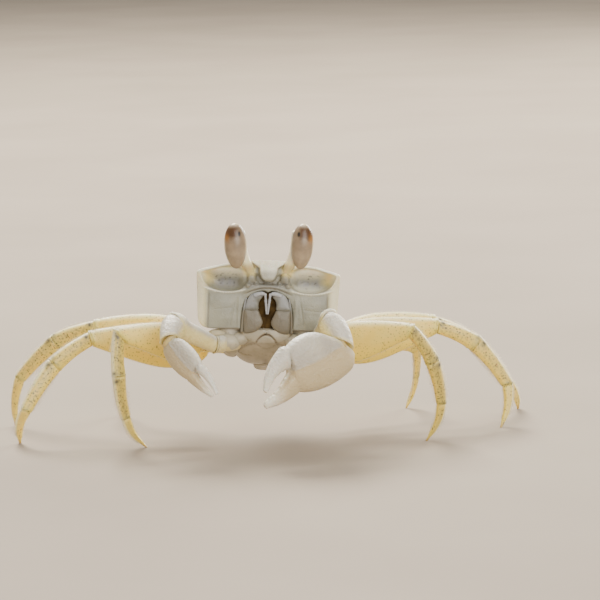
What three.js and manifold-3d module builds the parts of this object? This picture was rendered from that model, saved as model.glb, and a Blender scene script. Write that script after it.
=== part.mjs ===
// A ghost crab at life size, standing with its body tilted up and its claws held low in front.
// Millimetres, +Z up. The crab faces -Y, and its own left side (_l) is +X.
// The shell of each limb segment, shell plate, eye and eyestalk is one solid.

import * as THREE from 'three';
import { mergeVertices } from 'three/addons/utils/BufferGeometryUtils.js';
import Module from 'manifold-3d';

const wasm = await Module();
wasm.setup();

// ---- driving dimensions -------------------------------------------------------------------

const JOINT_GAP = 0.3; // the soft hinge between two shell segments
const MERGE_DISTANCE = 1e-4;
const SIDES = { l: 1, r: -1 };

// How the body is held above the floor.
const BODY_HEIGHT = 27.3;
const BODY_PITCH = THREE.MathUtils.degToRad(-12);
const BODY_ROLL = THREE.MathUtils.degToRad(3.2);

// The shift that centres the crab's footprint on the origin.
const CENTRING_SHIFT = { x: 0.57, y: 3.57 };

// Carapace: x is across, y runs from the front (-) to the back (+), z is up.
const SHELL = {
  halfBreadth: 12.2,
  front: -10,
  back: 10.5,
  widest: -6,
  rearNarrowing: 0.4,
  rearPower: 2.6,
  cornerInset: 0.2,
  cornerPower: 6,
  roof: 1.6,
  roofBulge: 0.55,
  roofBulgeLength: 0.8,
  roofArch: 1.4,
  rearDrop: 3.4,
  rearDropStart: 0.72,
  floor: -9.4,
  floorRearRise: 5,
  floorCorner: -0.7,
  floorTuck: 1.8,
  wallMiddle: -4,
  wallSlope: 0.0045,
  faceSlope: 0.12,
  squareness: 0.24,
  floorSquareness: 0.42,
};

// The two orbits, hollows that the eyes fold down into.
const ORBIT = { x: 6.95, y: -11, z: -1.1, radii: [4.15, 3.2, 2.3] };

// The front: a flat lobe between the eyestalks that bends down over the face.
const FRONT = { topHalf: 3.1, waistHalf: 1.85, top: 2.15, waist: 0.5, tip: -1.45, thick: 2.3, y: -10.75 };
const FRONT_FLARE = { x: 0.3, z: 0.6 };

// The epistome bar above the mouth and the antenna bases beside the front.
const EPISTOME = { half: 3.7, z: -2.2, height: 1.1, thick: 1.2, y: -9.75 };
const ANTENNA = { x: 2.85, y: -10.1, z: -1.05, radii: [0.55, 0.7, 0.95] };

// The mouth field, a rounded rectangle cut into the face.
const MOUTH = { half: 4.3, top: -2.9, bottom: -11.5, corner: 1.5, depth: 1.9, clearance: 2 };

// The two outer mouth plates that close it. x grows outwards from the middle of the face.
const MOUTH_PLATE = {
  thick: 1.1,
  inset: 0.15,
  inner: 0.2,
  outer: 3.95,
  top: -3.15,
  bottom: -10.3,
  palpOuter: 1.6,
  palpInner: 0.75,
  palpTop: -4.4,
  palpBottom: -7.2,
};

// Breastplate and abdomen.
const STERNUM = {
  front: -7.3,
  noseReach: 1.1,
  noseTop: -10.4,
  noseBottom: -11.1,
  back: 8.4,
  half: 5.8,
  frontShare: 0.62,
  backShare: 0.86,
  roof: -9.75,
  floor: -15,
  noseFloor: -11.6,
  tailFloor: -12.2,
  edgeLift: 1.3,
  squareness: 0.6,
};
const ABDOMEN = {
  thick: 0.9,
  rootHalf: 3.6,
  tipHalf: 1.1,
  tipY: -1.2,
  backY: 9.4,
  rootZ: -5.3,
  gap: 0.62,
  straight: 0.32,
  squareness: 0.5,
};

// Eyes stand upright, so they are placed in the crab's frame and not in the tilted body's.
const EYE = { radii: [1.75, 1.6, 3.85], y: -11.1, socketGap: 0.22 };
const EYE_SIDE = {
  l: { x: 5.82, z: 34.0, lean: 6.2, footX: 2.95, footZ: 28.9, headX: 4.95, headZ: 36.2 },
  r: { x: -5.28, z: 34.35, lean: 1.3, footX: -2.75, footZ: 29.1, headX: -4.45, headZ: 36.5 },
};
const STALK = { radius: 0.85, footRadius: 0.95, headTaper: 0.35, y: -10.15, bow: 0.45, socketGap: 0.4 };

// Walking legs. hip is in the body's frame (x is mirrored), the rest are lengths along the leg.
const LEGS = [
  { hip: [6.1, -3.9, -11.6], base: 5.0, merus: 15.0, carpus: 6.6, propodus: 8.0, dactyl: 7.2, girth: 0.88 },
  { hip: [6.2, -0.5, -11.7], base: 5.2, merus: 18.6, carpus: 7.6, propodus: 9.2, dactyl: 7.6, girth: 1.0 },
  { hip: [6.1, 2.9, -11.7], base: 5.3, merus: 19.0, carpus: 8.0, propodus: 9.8, dactyl: 8.7, girth: 1.0 },
  { hip: [5.7, 6.1, -11.4], base: 5.0, merus: 12.5, carpus: 5.6, propodus: 7.2, dactyl: 6.9, girth: 0.7 },
];

// How each leg is held: [yaw, lift] in degrees. Yaw turns forward from straight out to the side,
// lift turns up from level. The last segment gives only its yaw, because it reaches the floor.
const STANCE = {
  l: [
    { base: [22, 9], merus: [22, 9], carpus: [-22, -55], propodus: [-57, -70], dactyl: -158 },
    { base: [-10, 5], merus: [-12, 5], carpus: [-7, -25], propodus: [-10, -54], dactyl: 119 },
    { base: [-18, 4], merus: [-17, 4], carpus: [-18, -25], propodus: [-22, -47], dactyl: -65 },
    { base: [-26, -6], merus: [-26, -6], carpus: [-27, -6], propodus: [-89, -56], dactyl: -126 },
  ],
  r: [
    { base: [21, 7], merus: [23, 8], carpus: [79, -80], propodus: [-108, -71], dactyl: -138 },
    { base: [-1, 3], merus: [-1, 3], carpus: [16, -32], propodus: [34, -51], dactyl: -68 },
    { base: [-13, 6], merus: [-13, 6], carpus: [-18, -20], propodus: [-19, -44], dactyl: -35 },
    { base: [-26, -6], merus: [-26, -6], carpus: [-27, -6], propodus: [-89, -56], dactyl: -126 },
  ],
};

// The body of a leg segment: [at its start, at its end, extra in its middle] above, below and
// beside the middle line, for a leg of girth 1.
const LEG_SHAPE = {
  base: { sides: 8, cuts: 2, above: [1.85, 1.5, 0], below: [1.7, 1.5, 0], beside: [1.45, 1.1, 0], bow: 0 },
  merus: { sides: 12, cuts: 6, above: [1.3, 1.5, 1.7], below: [1.3, 1, 3.3], beside: [1, 0.95, 0.2], bow: 0 },
  carpus: { sides: 8, cuts: 4, above: [1, 1.45, 0], below: [1, 1.45, 0], beside: [0.8, 0.8, 0.15], bow: 0.3 },
  propodus: { sides: 8, cuts: 4, above: [1.4, 1, 0], below: [1.4, 1, 0], beside: [0.85, 0.6, 0], bow: 0.25 },
  dactyl: { sides: 8, cuts: 5, above: [0.9, 0.4, 0], below: [0.9, 0.4, 0], beside: [0.6, 0.4, 0], bow: 0.6 },
};
const SWELL_SKEW = 0.6; // below 1 a segment is fullest nearer its start

// Claws. The left one is the large one. girth thickens its base, arm and wrist.
const CLAW_HIP = [5.6, -7.3, -11.5];
const CLAWS = {
  l: {
    girth: 1,
    base: { length: 3.4, pose: [38, 5] },
    arm: { length: 8.6, pose: [71, 30] },
    wrist: { length: 4.0, pose: [50, -50] },
    palm: { length: 9.8, pose: [152, -18], twist: -4 },
    depth: 9.8,
    thick: 4.8,
    fingerLength: 6.4,
    fingerDroop: 22,
    fingerHook: 14,
  },
  r: {
    girth: 0.85,
    base: { length: 3.4, pose: [24, -3] },
    arm: { length: 8.8, pose: [36, 27] },
    wrist: { length: 3.8, pose: [76, -32] },
    palm: { length: 6.8, pose: [146, -42], twist: 0 },
    depth: 5.0,
    thick: 3.0,
    fingerLength: 5.2,
    fingerDroop: 0,
    fingerHook: 9,
  },
};
const CLAW_SHAPE = {
  base: { sides: 10, cuts: 2, above: [1.5, 1.5, 0], below: [1.7, 1.7, 0], beside: [1.45, 1.45, 0], bow: 0 },
  arm: { sides: 10, cuts: 5, above: [1.4, 2.1, 0], below: [1.5, 2.0, 0], beside: [1.3, 1.7, 0], bow: 0 },
  wrist: { sides: 12, cuts: 5, above: [2, 2, 0.3], below: [1.7, 1.7, 0.3], beside: [1.6, 1.6, 0.7], bow: 0.4 },
};

// The palm and its fixed finger, as shares of the palm's depth and thickness. The palm's outline
// is the part of an oval that runs from ovalStart to ovalStart + ovalSpan of its half length.
const PALM = {
  sides: 14,
  cuts: [0, 0.08, 0.2, 0.38, 0.58, 0.78, 0.92, 1],
  above: 0.47,
  below: 0.57,
  ovalStart: -0.5,
  ovalSpan: 0.9,
  ovalFlatness: 2.6,
  step: 0.01,
};
const FIXED_FINGER = {
  cuts: [0.02, 0.3, 0.6, 0.85, 1],
  above: 0.001,
  below: [0.36, 0.07],
  beside: [0.31, 0.09],
  drop: 0.08,
  bow: 0.05,
};
const FINGER = {
  sides: 10,
  cuts: 6,
  above: [0.19, 0.05],
  below: [0.15, 0.05],
  beside: [0.34, 0.1],
  bow: 0.08,
  knuckleGap: 0.45,
  knuckleHeight: 0.2,
};

// ---- colours ------------------------------------------------------------------------------

function finish(color, roughness) {
  return new THREE.MeshStandardMaterial({ color, roughness, metalness: 0 });
}

const FINISH = {
  shell: finish(0xe2dfc4, 0.5),
  sternum: finish(0xb3a68c, 0.55),
  leg: finish(0xe6d59a, 0.45),
  claw: finish(0xd8d3c6, 0.45),
  stalk: finish(0xe9deb4, 0.4),
  eye: finish(0x8a6a52, 0.15),
  mouth: finish(0xc9c2ae, 0.5),
};

// ---- shaping helpers ----------------------------------------------------------------------

const mix = THREE.MathUtils.lerp;
const smooth = THREE.MathUtils.smoothstep;
const arch = (t) => Math.sin(Math.PI * t);
const signedPower = (value, power) => Math.sign(value) * Math.abs(value) ** power;

// Merges the doubled seam of a stock geometry, which leaves one closed surface.
function closed(geometry) {
  geometry.deleteAttribute('normal');
  geometry.deleteAttribute('uv');
  const merged = mergeVertices(geometry, MERGE_DISTANCE);
  merged.computeVertexNormals();
  return merged;
}

// A closed tube of rings, where pointAt(t, across, up) gives the point of ring t whose unit
// circle reads (across, up). Along, across and up follow each other as X, Y and Z do.
function rings(cuts, sides, pointAt) {
  const steps = cuts.length - 1;
  const geometry = new THREE.CylinderGeometry(1, 1, 1, sides, steps);
  const positions = geometry.attributes.position;
  for (let i = 0; i < positions.count; i += 1) {
    const ring = Math.round((positions.getY(i) + 0.5) * steps);
    const point = pointAt(cuts[ring], positions.getZ(i), positions.getX(i));
    positions.setXYZ(i, point.x, point.y, point.z);
  }
  return closed(geometry);
}

function evenCuts(count) {
  return Array.from({ length: count + 1 }, (_, i) => i / count);
}

// A limb segment along +X. above, below and beside are its reach from the middle line, bow is
// how far that line rises, and start and end are the planes where the segment stops. A higher
// fade keeps the slant of those planes closer to the ends.
function limb({ length, cuts, sides, above, below, beside, bow, start, end, fade = 1 }) {
  const slant = ({ normal, offset }, y, z) => (offset - normal.y * y - normal.z * z) / normal.x;
  return rings(cuts, sides, (t, across, up) => {
    const y = across * beside(t);
    const z = up * (up > 0 ? above(t) : below(t)) + bow(t);
    const x = length * t + slant(start, y, z) * (1 - t) ** fade + slant(end, y, z) * t ** fade;
    return new THREE.Vector3(x, y, z);
  });
}

const SQUARE_END = { normal: new THREE.Vector3(1, 0, 0), offset: 0 };

// The functions along a segment that its shape entry describes, thickened by its girth.
function segmentShape(shape, tall, wide) {
  const fullness = (t) => arch(t ** SWELL_SKEW);
  const taper = ([start, end, swell], grow) => (t) => grow * (mix(start, end, t) + swell * fullness(t));
  return {
    sides: shape.sides,
    cuts: evenCuts(shape.cuts),
    above: taper(shape.above, tall),
    below: taper(shape.below, tall),
    beside: taper(shape.beside, wide),
    bow: (t) => shape.bow * arch(t),
  };
}

function toSolid(geometry, matrix = new THREE.Matrix4()) {
  const placed = closed(geometry.clone()).applyMatrix4(matrix);
  return new wasm.Manifold(new wasm.Mesh({
    numProp: 3,
    vertProperties: new Float32Array(placed.attributes.position.array),
    triVerts: new Uint32Array(placed.index.array),
  }));
}

function fromSolid(solid) {
  const mesh = solid.getMesh();
  const geometry = new THREE.BufferGeometry();
  geometry.setAttribute('position', new THREE.BufferAttribute(mesh.vertProperties, 3));
  geometry.setIndex(new THREE.BufferAttribute(mesh.triVerts, 1));
  return closed(geometry);
}

function place(x, y, z, scale = [1, 1, 1], turn = new THREE.Euler()) {
  return new THREE.Matrix4().compose(
    new THREE.Vector3(x, y, z),
    new THREE.Quaternion().setFromEuler(turn),
    new THREE.Vector3(...scale),
  );
}

function piece(name, geometry, material) {
  const mesh = new THREE.Mesh(geometry, material);
  mesh.name = name;
  return mesh;
}

// ---- frames of the limbs ------------------------------------------------------------------

function direction(side, [yaw, lift]) {
  const turn = THREE.MathUtils.degToRad(yaw);
  const climb = THREE.MathUtils.degToRad(lift);
  const level = Math.cos(climb);
  return new THREE.Vector3(side * level * Math.cos(turn), -level * Math.sin(turn), Math.sin(climb));
}

// The frame whose X axis is the given direction and whose Z axis points as far up as it can.
function uprightFrame(along, twist = 0) {
  const up = new THREE.Vector3(0, 0, 1).addScaledVector(along, -along.z).normalize();
  const across = up.clone().cross(along);
  const basis = new THREE.Matrix4().makeBasis(along, across, up);
  const roll = new THREE.Quaternion().setFromEuler(new THREE.Euler(THREE.MathUtils.degToRad(twist), 0, 0));
  return new THREE.Quaternion().setFromRotationMatrix(basis).multiply(roll);
}

// The previous segment's frame, bent by the joint and not twisted.
function bentFrame(frame, from, to) {
  return new THREE.Quaternion().setFromUnitVectors(from, to).multiply(frame);
}

// An end plane across the given direction, seen in one segment's frame.
function endPlane(normal, frame, offset) {
  return { normal: normal.clone().applyQuaternion(frame.clone().invert()), offset };
}

// The end plane that halves the angle of a joint.
function jointPlane(from, to, frame, offset) {
  return endPlane(from.clone().add(to).normalize(), frame, offset);
}

// ---- body ---------------------------------------------------------------------------------

const body = new THREE.Group();
body.position.z = BODY_HEIGHT;
body.rotation.set(BODY_PITCH, BODY_ROLL, 0, 'YXZ');
body.updateMatrixWorld();

function shellHalfBreadth(y) {
  const backward = Math.max(0, (y - SHELL.widest) / (SHELL.back - SHELL.widest));
  const forward = Math.max(0, (SHELL.widest - y) / (SHELL.widest - SHELL.front));
  return SHELL.halfBreadth * (1 - SHELL.rearNarrowing * backward ** SHELL.rearPower)
    - SHELL.cornerInset * forward ** SHELL.cornerPower;
}

function shellRoof(y) {
  const along = (y - SHELL.front) / (SHELL.back - SHELL.front);
  const bulge = SHELL.roofBulge * arch(Math.min(1, along / SHELL.roofBulgeLength));
  return SHELL.roof + bulge - SHELL.rearDrop * smooth(along, SHELL.rearDropStart, 1);
}

function shellFloor(y) {
  return SHELL.floor + SHELL.floorRearRise * smooth(y, 2, SHELL.back + 1);
}

function shellPoint(t, across, up) {
  const y = mix(SHELL.front, SHELL.back, t);
  const squareness = up > 0 ? SHELL.squareness : SHELL.floorSquareness;
  const reach = -signedPower(across, squareness);
  const tuck = mix(SHELL.floorCorner, SHELL.floorTuck, smooth(y, -8, -2));
  const edge = up > 0
    ? shellRoof(y) - SHELL.roofArch * reach ** 2
    : shellFloor(y) + tuck * reach ** 4;
  const z = mix(SHELL.wallMiddle, edge, Math.abs(up) ** squareness);
  const x = reach * shellHalfBreadth(y) * (1 + SHELL.wallSlope * (z - SHELL.roof));
  const lean = SHELL.faceSlope * (SHELL.roof - z) * (1 - t);
  return new THREE.Vector3(x, y + lean, z);
}

function frontLobe() {
  const { topHalf, waistHalf, top, waist, tip, thick } = FRONT;
  const flare = { x: waistHalf + FRONT_FLARE.x, z: top - FRONT_FLARE.z };
  const outline = new THREE.Shape();
  outline.moveTo(-topHalf, top);
  outline.quadraticCurveTo(-flare.x, flare.z, -waistHalf, waist);
  outline.quadraticCurveTo(-waistHalf, tip, 0, tip);
  outline.quadraticCurveTo(waistHalf, tip, waistHalf, waist);
  outline.quadraticCurveTo(flare.x, flare.z, topHalf, top);
  outline.closePath();
  const slab = new THREE.ExtrudeGeometry(outline, { depth: thick, bevelEnabled: false, curveSegments: 5 });
  return toSolid(slab, place(0, FRONT.y + thick, 0, [1, 1, 1], new THREE.Euler(Math.PI / 2, 0, 0)));
}

function mouthOutline() {
  const { half, top, bottom, corner } = MOUTH;
  const outline = new THREE.Shape();
  outline.moveTo(-half, bottom);
  outline.lineTo(half, bottom);
  outline.lineTo(half, top - corner);
  outline.quadraticCurveTo(half, top, half - corner, top);
  outline.lineTo(corner - half, top);
  outline.quadraticCurveTo(-half, top, -half, top - corner);
  outline.closePath();
  return outline;
}

// The face leans back a little towards the mouth. This is the frame of that leaning plane, with
// its own Z out of the face, Y up it and X across.
const FACE = place(0, SHELL.front + SHELL.faceSlope * SHELL.roof, 0, [1, 1, 1],
  new THREE.Euler(Math.PI / 2 + Math.atan(SHELL.faceSlope), 0, 0));

function mouthCutter() {
  const depth = MOUTH.depth + MOUTH.clearance;
  const cutter = new THREE.ExtrudeGeometry(mouthOutline(), { depth, bevelEnabled: false, curveSegments: 4 });
  const sunk = new THREE.Matrix4().makeTranslation(0, 0, -MOUTH.depth);
  return toSolid(cutter, FACE.clone().multiply(sunk));
}

function ball(radii, matrix, columns = 16, rows = 10) {
  const sphere = new THREE.SphereGeometry(1, columns, rows);
  return toSolid(sphere, matrix.clone().scale(new THREE.Vector3(...radii)));
}

function eyestalkGeometry(side, grow) {
  const eye = EYE_SIDE[side];
  return rings(evenCuts(6), 10, (t, across, up) => {
    const taper = 1 - STALK.headTaper * smooth(t, 0.75, 1);
    const radius = mix(STALK.footRadius, STALK.radius, t) * taper + grow;
    const middle = mix(eye.footX, eye.headX, t) + Math.sign(eye.x) * STALK.bow * arch(t);
    const z = mix(eye.footZ - grow, eye.headZ + grow, t);
    return new THREE.Vector3(middle + across * radius, STALK.y + up * radius, z);
  });
}

function corneaMatrix(side) {
  const eye = EYE_SIDE[side];
  const lean = new THREE.Euler(0, THREE.MathUtils.degToRad(eye.lean) * Math.sign(eye.x), 0);
  return place(eye.x, EYE.y, eye.z, [1, 1, 1], lean);
}

function carapace() {
  const cuts = [0, 0.02, 0.08, 0.18, 0.3, 0.42, 0.54, 0.66, 0.77, 0.87, 0.95, 1];
  let solid = toSolid(rings(cuts, 36, shellPoint));
  solid = solid.add(frontLobe());
  for (const sign of Object.values(SIDES)) {
    solid = solid.subtract(ball(ORBIT.radii, place(sign * ORBIT.x, ORBIT.y, ORBIT.z), 20, 12));
    solid = solid.add(ball(ANTENNA.radii, place(sign * ANTENNA.x, ANTENNA.y, ANTENNA.z), 8, 6));
  }
  const bar = new THREE.BoxGeometry(2 * EPISTOME.half, EPISTOME.thick, EPISTOME.height);
  solid = solid.add(toSolid(bar, place(0, EPISTOME.y, EPISTOME.z)));
  solid = solid.subtract(mouthCutter());
  const intoBody = body.matrixWorld.clone().invert();
  for (const side of Object.keys(SIDES)) {
    solid = solid.subtract(toSolid(eyestalkGeometry(side, STALK.socketGap), intoBody));
  }
  return fromSolid(solid);
}

function sternumFloor(t) {
  const front = mix(STERNUM.noseFloor, STERNUM.floor, Math.sin(Math.PI / 2 * Math.min(1, t / 0.42)));
  return mix(front, STERNUM.tailFloor, smooth(t, 0.55, 1.05));
}

function sternumPoint(t, across, up) {
  const y = mix(STERNUM.front, STERNUM.back, t);
  const frontShare = mix(STERNUM.frontShare, 1, smooth(t, 0, 0.2));
  const backShare = mix(1, STERNUM.backShare, smooth(t, 0.7, 1));
  const reach = -signedPower(across, STERNUM.squareness);
  const floor = sternumFloor(t) + STERNUM.edgeLift * reach ** 4;
  const middle = (STERNUM.roof + floor) / 2;
  const z = mix(middle, up > 0 ? STERNUM.roof : floor, Math.abs(up) ** STERNUM.squareness);
  const nose = STERNUM.noseReach * (1 - t) ** 4 * smooth(-z, -STERNUM.noseTop, -STERNUM.noseBottom);
  return new THREE.Vector3(STERNUM.half * frontShare * backShare * reach, y - nose, z);
}

// The abdomen is folded under the body: it starts below the back edge of the carapace, turns
// the corner and lies along the breastplate.
function abdomenPoint(t, across, up) {
  const reach = -mix(ABDOMEN.rootHalf, ABDOMEN.tipHalf, t) * signedPower(across, ABDOMEN.squareness);
  const outward = up > 0 ? ABDOMEN.thick : 0;
  const turn = smooth(t, 0.1, 0.55) * Math.PI / 2;
  const along = Math.max(0, (t - ABDOMEN.straight) / (1 - ABDOMEN.straight));
  const y = mix(ABDOMEN.backY, ABDOMEN.tipY, along) + outward * Math.cos(turn);
  const under = sternumFloor((y - STERNUM.front) / (STERNUM.back - STERNUM.front)) - ABDOMEN.gap;
  const z = mix(ABDOMEN.rootZ, under, smooth(t, -0.15, 0.45)) - outward * Math.sin(turn);
  return new THREE.Vector3(reach, y, z);
}

// The right plate. It has a slot beside its inner edge, where the jointed palp hangs down.
function mouthPlate() {
  const { thick, inner, outer, top, bottom, palpOuter, palpInner, palpTop, palpBottom } = MOUTH_PLATE;
  const outline = new THREE.Shape();
  outline.moveTo(-outer, bottom);
  outline.lineTo(-palpOuter - 0.9, bottom);
  outline.quadraticCurveTo(-palpInner, bottom + 0.6, -palpInner, palpBottom - 1.5);
  outline.quadraticCurveTo(-palpInner - 0.2, palpBottom - 0.4, -palpOuter, palpBottom + 0.5);
  outline.lineTo(-palpOuter, palpTop);
  outline.lineTo(-palpInner - 0.4, palpTop + 0.3);
  outline.lineTo(-palpInner, palpBottom);
  outline.lineTo(-inner, palpBottom);
  outline.lineTo(-inner, palpTop);
  outline.quadraticCurveTo(-inner, top, -palpOuter, top);
  outline.quadraticCurveTo(-outer, top, -outer, top - 1.85);
  outline.closePath();
  return new THREE.ExtrudeGeometry(outline, { depth: thick, bevelEnabled: false, curveSegments: 4 });
}

function maxilliped(side) {
  const geometry = closed(mouthPlate());
  const seat = new THREE.Matrix4().makeTranslation(0, 0, MOUTH_PLATE.inset - MOUTH_PLATE.thick);
  if (side === 'l') {
    geometry.applyMatrix4(new THREE.Matrix4().makeScale(-1, 1, 1));
    geometry.setIndex(Array.from(geometry.index.array).reverse());
  }
  geometry.applyMatrix4(FACE.clone().multiply(seat));
  geometry.computeVertexNormals();
  return piece(`maxilliped_${side}`, geometry, FINISH.mouth);
}

body.add(piece('carapace', carapace(), FINISH.shell));
body.add(piece('sternum', rings(evenCuts(8), 20, sternumPoint), FINISH.sternum));
body.add(piece('abdomen', rings(evenCuts(9), 8, abdomenPoint), FINISH.sternum));
body.add(maxilliped('l'), maxilliped('r'));

// ---- eyes ---------------------------------------------------------------------------------

function eye(side) {
  const group = new THREE.Group();
  const cornea = new THREE.SphereGeometry(1, 16, 12);
  cornea.rotateX(Math.PI / 2);
  cornea.scale(...EYE.radii);
  const globe = piece(`eye_${side}`, closed(cornea), FINISH.eye);
  globe.applyMatrix4(corneaMatrix(side));
  const socket = EYE.radii.map((radius) => radius + EYE.socketGap);
  const stalk = toSolid(eyestalkGeometry(side, 0)).subtract(ball(socket, corneaMatrix(side), 20, 14));
  group.add(globe, piece(`eyestalk_${side}`, fromSolid(stalk), FINISH.stalk));
  return group;
}

// ---- walking legs -------------------------------------------------------------------------

const LEG_SEGMENTS = Object.keys(LEG_SHAPE);

// The lift that brings a segment of this length from its joint down to the floor.
function liftToFloor(joint, length) {
  return THREE.MathUtils.radToDeg(-Math.asin(joint.z / length));
}

// Where a limb leaves the body, from its place on the left side of the body's own frame.
function hipJoint(sign, [x, y, z]) {
  return new THREE.Vector3(sign * x, y, z).applyMatrix4(body.matrixWorld);
}

function leg(side, index) {
  const kind = LEGS[index];
  const stance = STANCE[side][index];
  const sign = SIDES[side];
  const outward = new THREE.Vector3(sign, 0, 0).transformDirection(body.matrixWorld);
  const down = new THREE.Vector3(0, 0, -1);
  let joint = hipJoint(sign, kind.hip);
  const ways = LEG_SEGMENTS.slice(0, -1).map((segment) => direction(sign, stance[segment]));
  const ankle = joint.clone();
  ways.forEach((way, i) => ankle.addScaledVector(way, kind[LEG_SEGMENTS[i]]));
  ways.push(direction(sign, [stance.dactyl, liftToFloor(ankle, kind.dactyl)]));

  const group = new THREE.Group();
  let frame = uprightFrame(ways[0]);
  LEG_SEGMENTS.forEach((segment, i) => {
    const way = ways[i];
    frame = i < 2 ? uprightFrame(way) : bentFrame(frame, ways[i - 1], way);
    const start = i === 0
      ? endPlane(outward, frame, JOINT_GAP)
      : jointPlane(ways[i - 1], way, frame, JOINT_GAP / 2);
    const end = i === ways.length - 1
      ? endPlane(down, frame, 0)
      : jointPlane(way, ways[i + 1], frame, -JOINT_GAP / 2);
    const shape = segmentShape(LEG_SHAPE[segment], kind.girth, Math.sqrt(kind.girth));
    const geometry = limb({ length: kind[segment], start, end, ...shape });
    const mesh = piece(`leg${index + 1}_${side}_${segment}`, geometry, FINISH.leg);
    mesh.position.copy(joint);
    mesh.quaternion.copy(frame);
    group.add(mesh);
    joint = joint.clone().addScaledVector(way, kind[segment]);
  });
  return group;
}

// ---- claws --------------------------------------------------------------------------------

// The palm with its fixed finger. The palm is a deep oval, and past its end only the lower
// third goes on as the fixed finger.
function palmGeometry({ palm, depth, thick, fingerLength, fingerDroop }, start) {
  const length = palm.length + fingerLength;
  const knuckle = palm.length / length;
  const sag = fingerLength * Math.tan(THREE.MathUtils.degToRad(fingerDroop));
  const palmCuts = PALM.cuts.map((t) => t * (knuckle - PALM.step));
  const fingerCuts = FIXED_FINGER.cuts.map((t) => mix(knuckle, 1, t));
  const oval = (t) => Math.sqrt(1 - PALM.ovalFlatness * (PALM.ovalStart + PALM.ovalSpan * t / knuckle) ** 2);
  const past = (t) => (t - knuckle) / (1 - knuckle);
  const alongPalm = (onPalm, onFinger) => (t) => (t < knuckle ? onPalm * oval(t) : onFinger(past(t)));
  return limb({
    length,
    cuts: [...palmCuts, ...fingerCuts],
    sides: PALM.sides,
    above: alongPalm(PALM.above * depth, () => FIXED_FINGER.above * depth),
    below: alongPalm(PALM.below * depth, (t) => depth * mix(...FIXED_FINGER.below, t)),
    beside: alongPalm(thick / 2, (t) => thick * mix(...FIXED_FINGER.beside, t)),
    bow: alongPalm(0, (t) => -sag * t - depth * (FIXED_FINGER.drop + FIXED_FINGER.bow * arch(t))),
    start,
    end: SQUARE_END,
    fade: 3,
  });
}

// The movable finger, hooked down towards the tip of the fixed one. Its start lies flat along the
// end of the palm, from which it is tilted.
function fingerGeometry({ depth, thick, fingerLength }, tilt) {
  return limb({
    length: fingerLength,
    cuts: evenCuts(FINGER.cuts),
    sides: FINGER.sides,
    above: (t) => depth * mix(...FINGER.above, t),
    below: (t) => depth * mix(...FINGER.below, t),
    beside: (t) => thick * mix(...FINGER.beside, t),
    bow: (t) => FINGER.bow * depth * arch(t),
    start: { normal: new THREE.Vector3(1, 0, 0).applyEuler(new THREE.Euler(0, -tilt, 0)), offset: 0 },
    end: SQUARE_END,
  });
}

function claw(side) {
  const kind = CLAWS[side];
  const sign = SIDES[side];
  const girth = Math.sqrt(kind.girth);
  const segments = [...Object.keys(CLAW_SHAPE), 'palm'];
  const ways = segments.map((segment) => direction(sign, kind[segment].pose));
  const outward = new THREE.Vector3(sign, 0, 0).transformDirection(body.matrixWorld);
  let joint = hipJoint(sign, CLAW_HIP);

  const group = new THREE.Group();
  segments.forEach((segment, i) => {
    const way = ways[i];
    const frame = uprightFrame(way, kind[segment].twist);
    const start = i === 0
      ? endPlane(outward, frame, JOINT_GAP)
      : jointPlane(ways[i - 1], way, frame, JOINT_GAP / 2);
    const holder = new THREE.Group();
    holder.position.copy(joint);
    holder.quaternion.copy(frame);
    if (segment === 'palm') {
      holder.add(piece(`claw_${side}_palm`, palmGeometry(kind, start), FINISH.claw));
      const tilt = THREE.MathUtils.degToRad(kind.fingerDroop + kind.fingerHook);
      const finger = piece(`claw_${side}_finger`, fingerGeometry(kind, tilt), FINISH.claw);
      finger.position.set(kind.palm.length + FINGER.knuckleGap, 0, FINGER.knuckleHeight * kind.depth);
      finger.rotation.y = tilt;
      holder.add(finger);
    } else {
      const end = jointPlane(way, ways[i + 1], frame, -JOINT_GAP / 2);
      const shape = segmentShape(CLAW_SHAPE[segment], girth, girth);
      const geometry = limb({ length: kind[segment].length, start, end, ...shape });
      holder.add(piece(`claw_${side}_${segment}`, geometry, FINISH.claw));
    }
    group.add(holder);
    joint = joint.clone().addScaledVector(way, kind[segment].length);
  });
  return group;
}

// ---- the whole crab -----------------------------------------------------------------------

const crab = new THREE.Group();
crab.position.set(CENTRING_SHIFT.x, CENTRING_SHIFT.y, 0);
crab.add(body);
for (const side of Object.keys(SIDES)) {
  crab.add(eye(side), claw(side));
  LEGS.forEach((_, index) => crab.add(leg(side, index)));
}

const group = new THREE.Group();
group.add(crab);

export default group;
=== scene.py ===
"""The finished look of a life-size ghost crab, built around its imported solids.

Shapes are worked out in millimetres, in the frame of the part they belong to: the tilted body,
the crab as it stands, or one limb segment. Each piece is set in its place, in metres, as its mesh
is handed over. The crab faces -Y, its own left side (_l) is +X, and the floor is at z = 0.
"""

import logging
import math
import random
from dataclasses import dataclass, field, replace
from enum import Enum
from typing import Callable, Iterable, Optional, Sequence

import bmesh
import bpy
from bmesh.types import BMEdge, BMesh, BMLayerItem, BMVert
from mathutils import Matrix, Quaternion, Vector, noise


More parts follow.
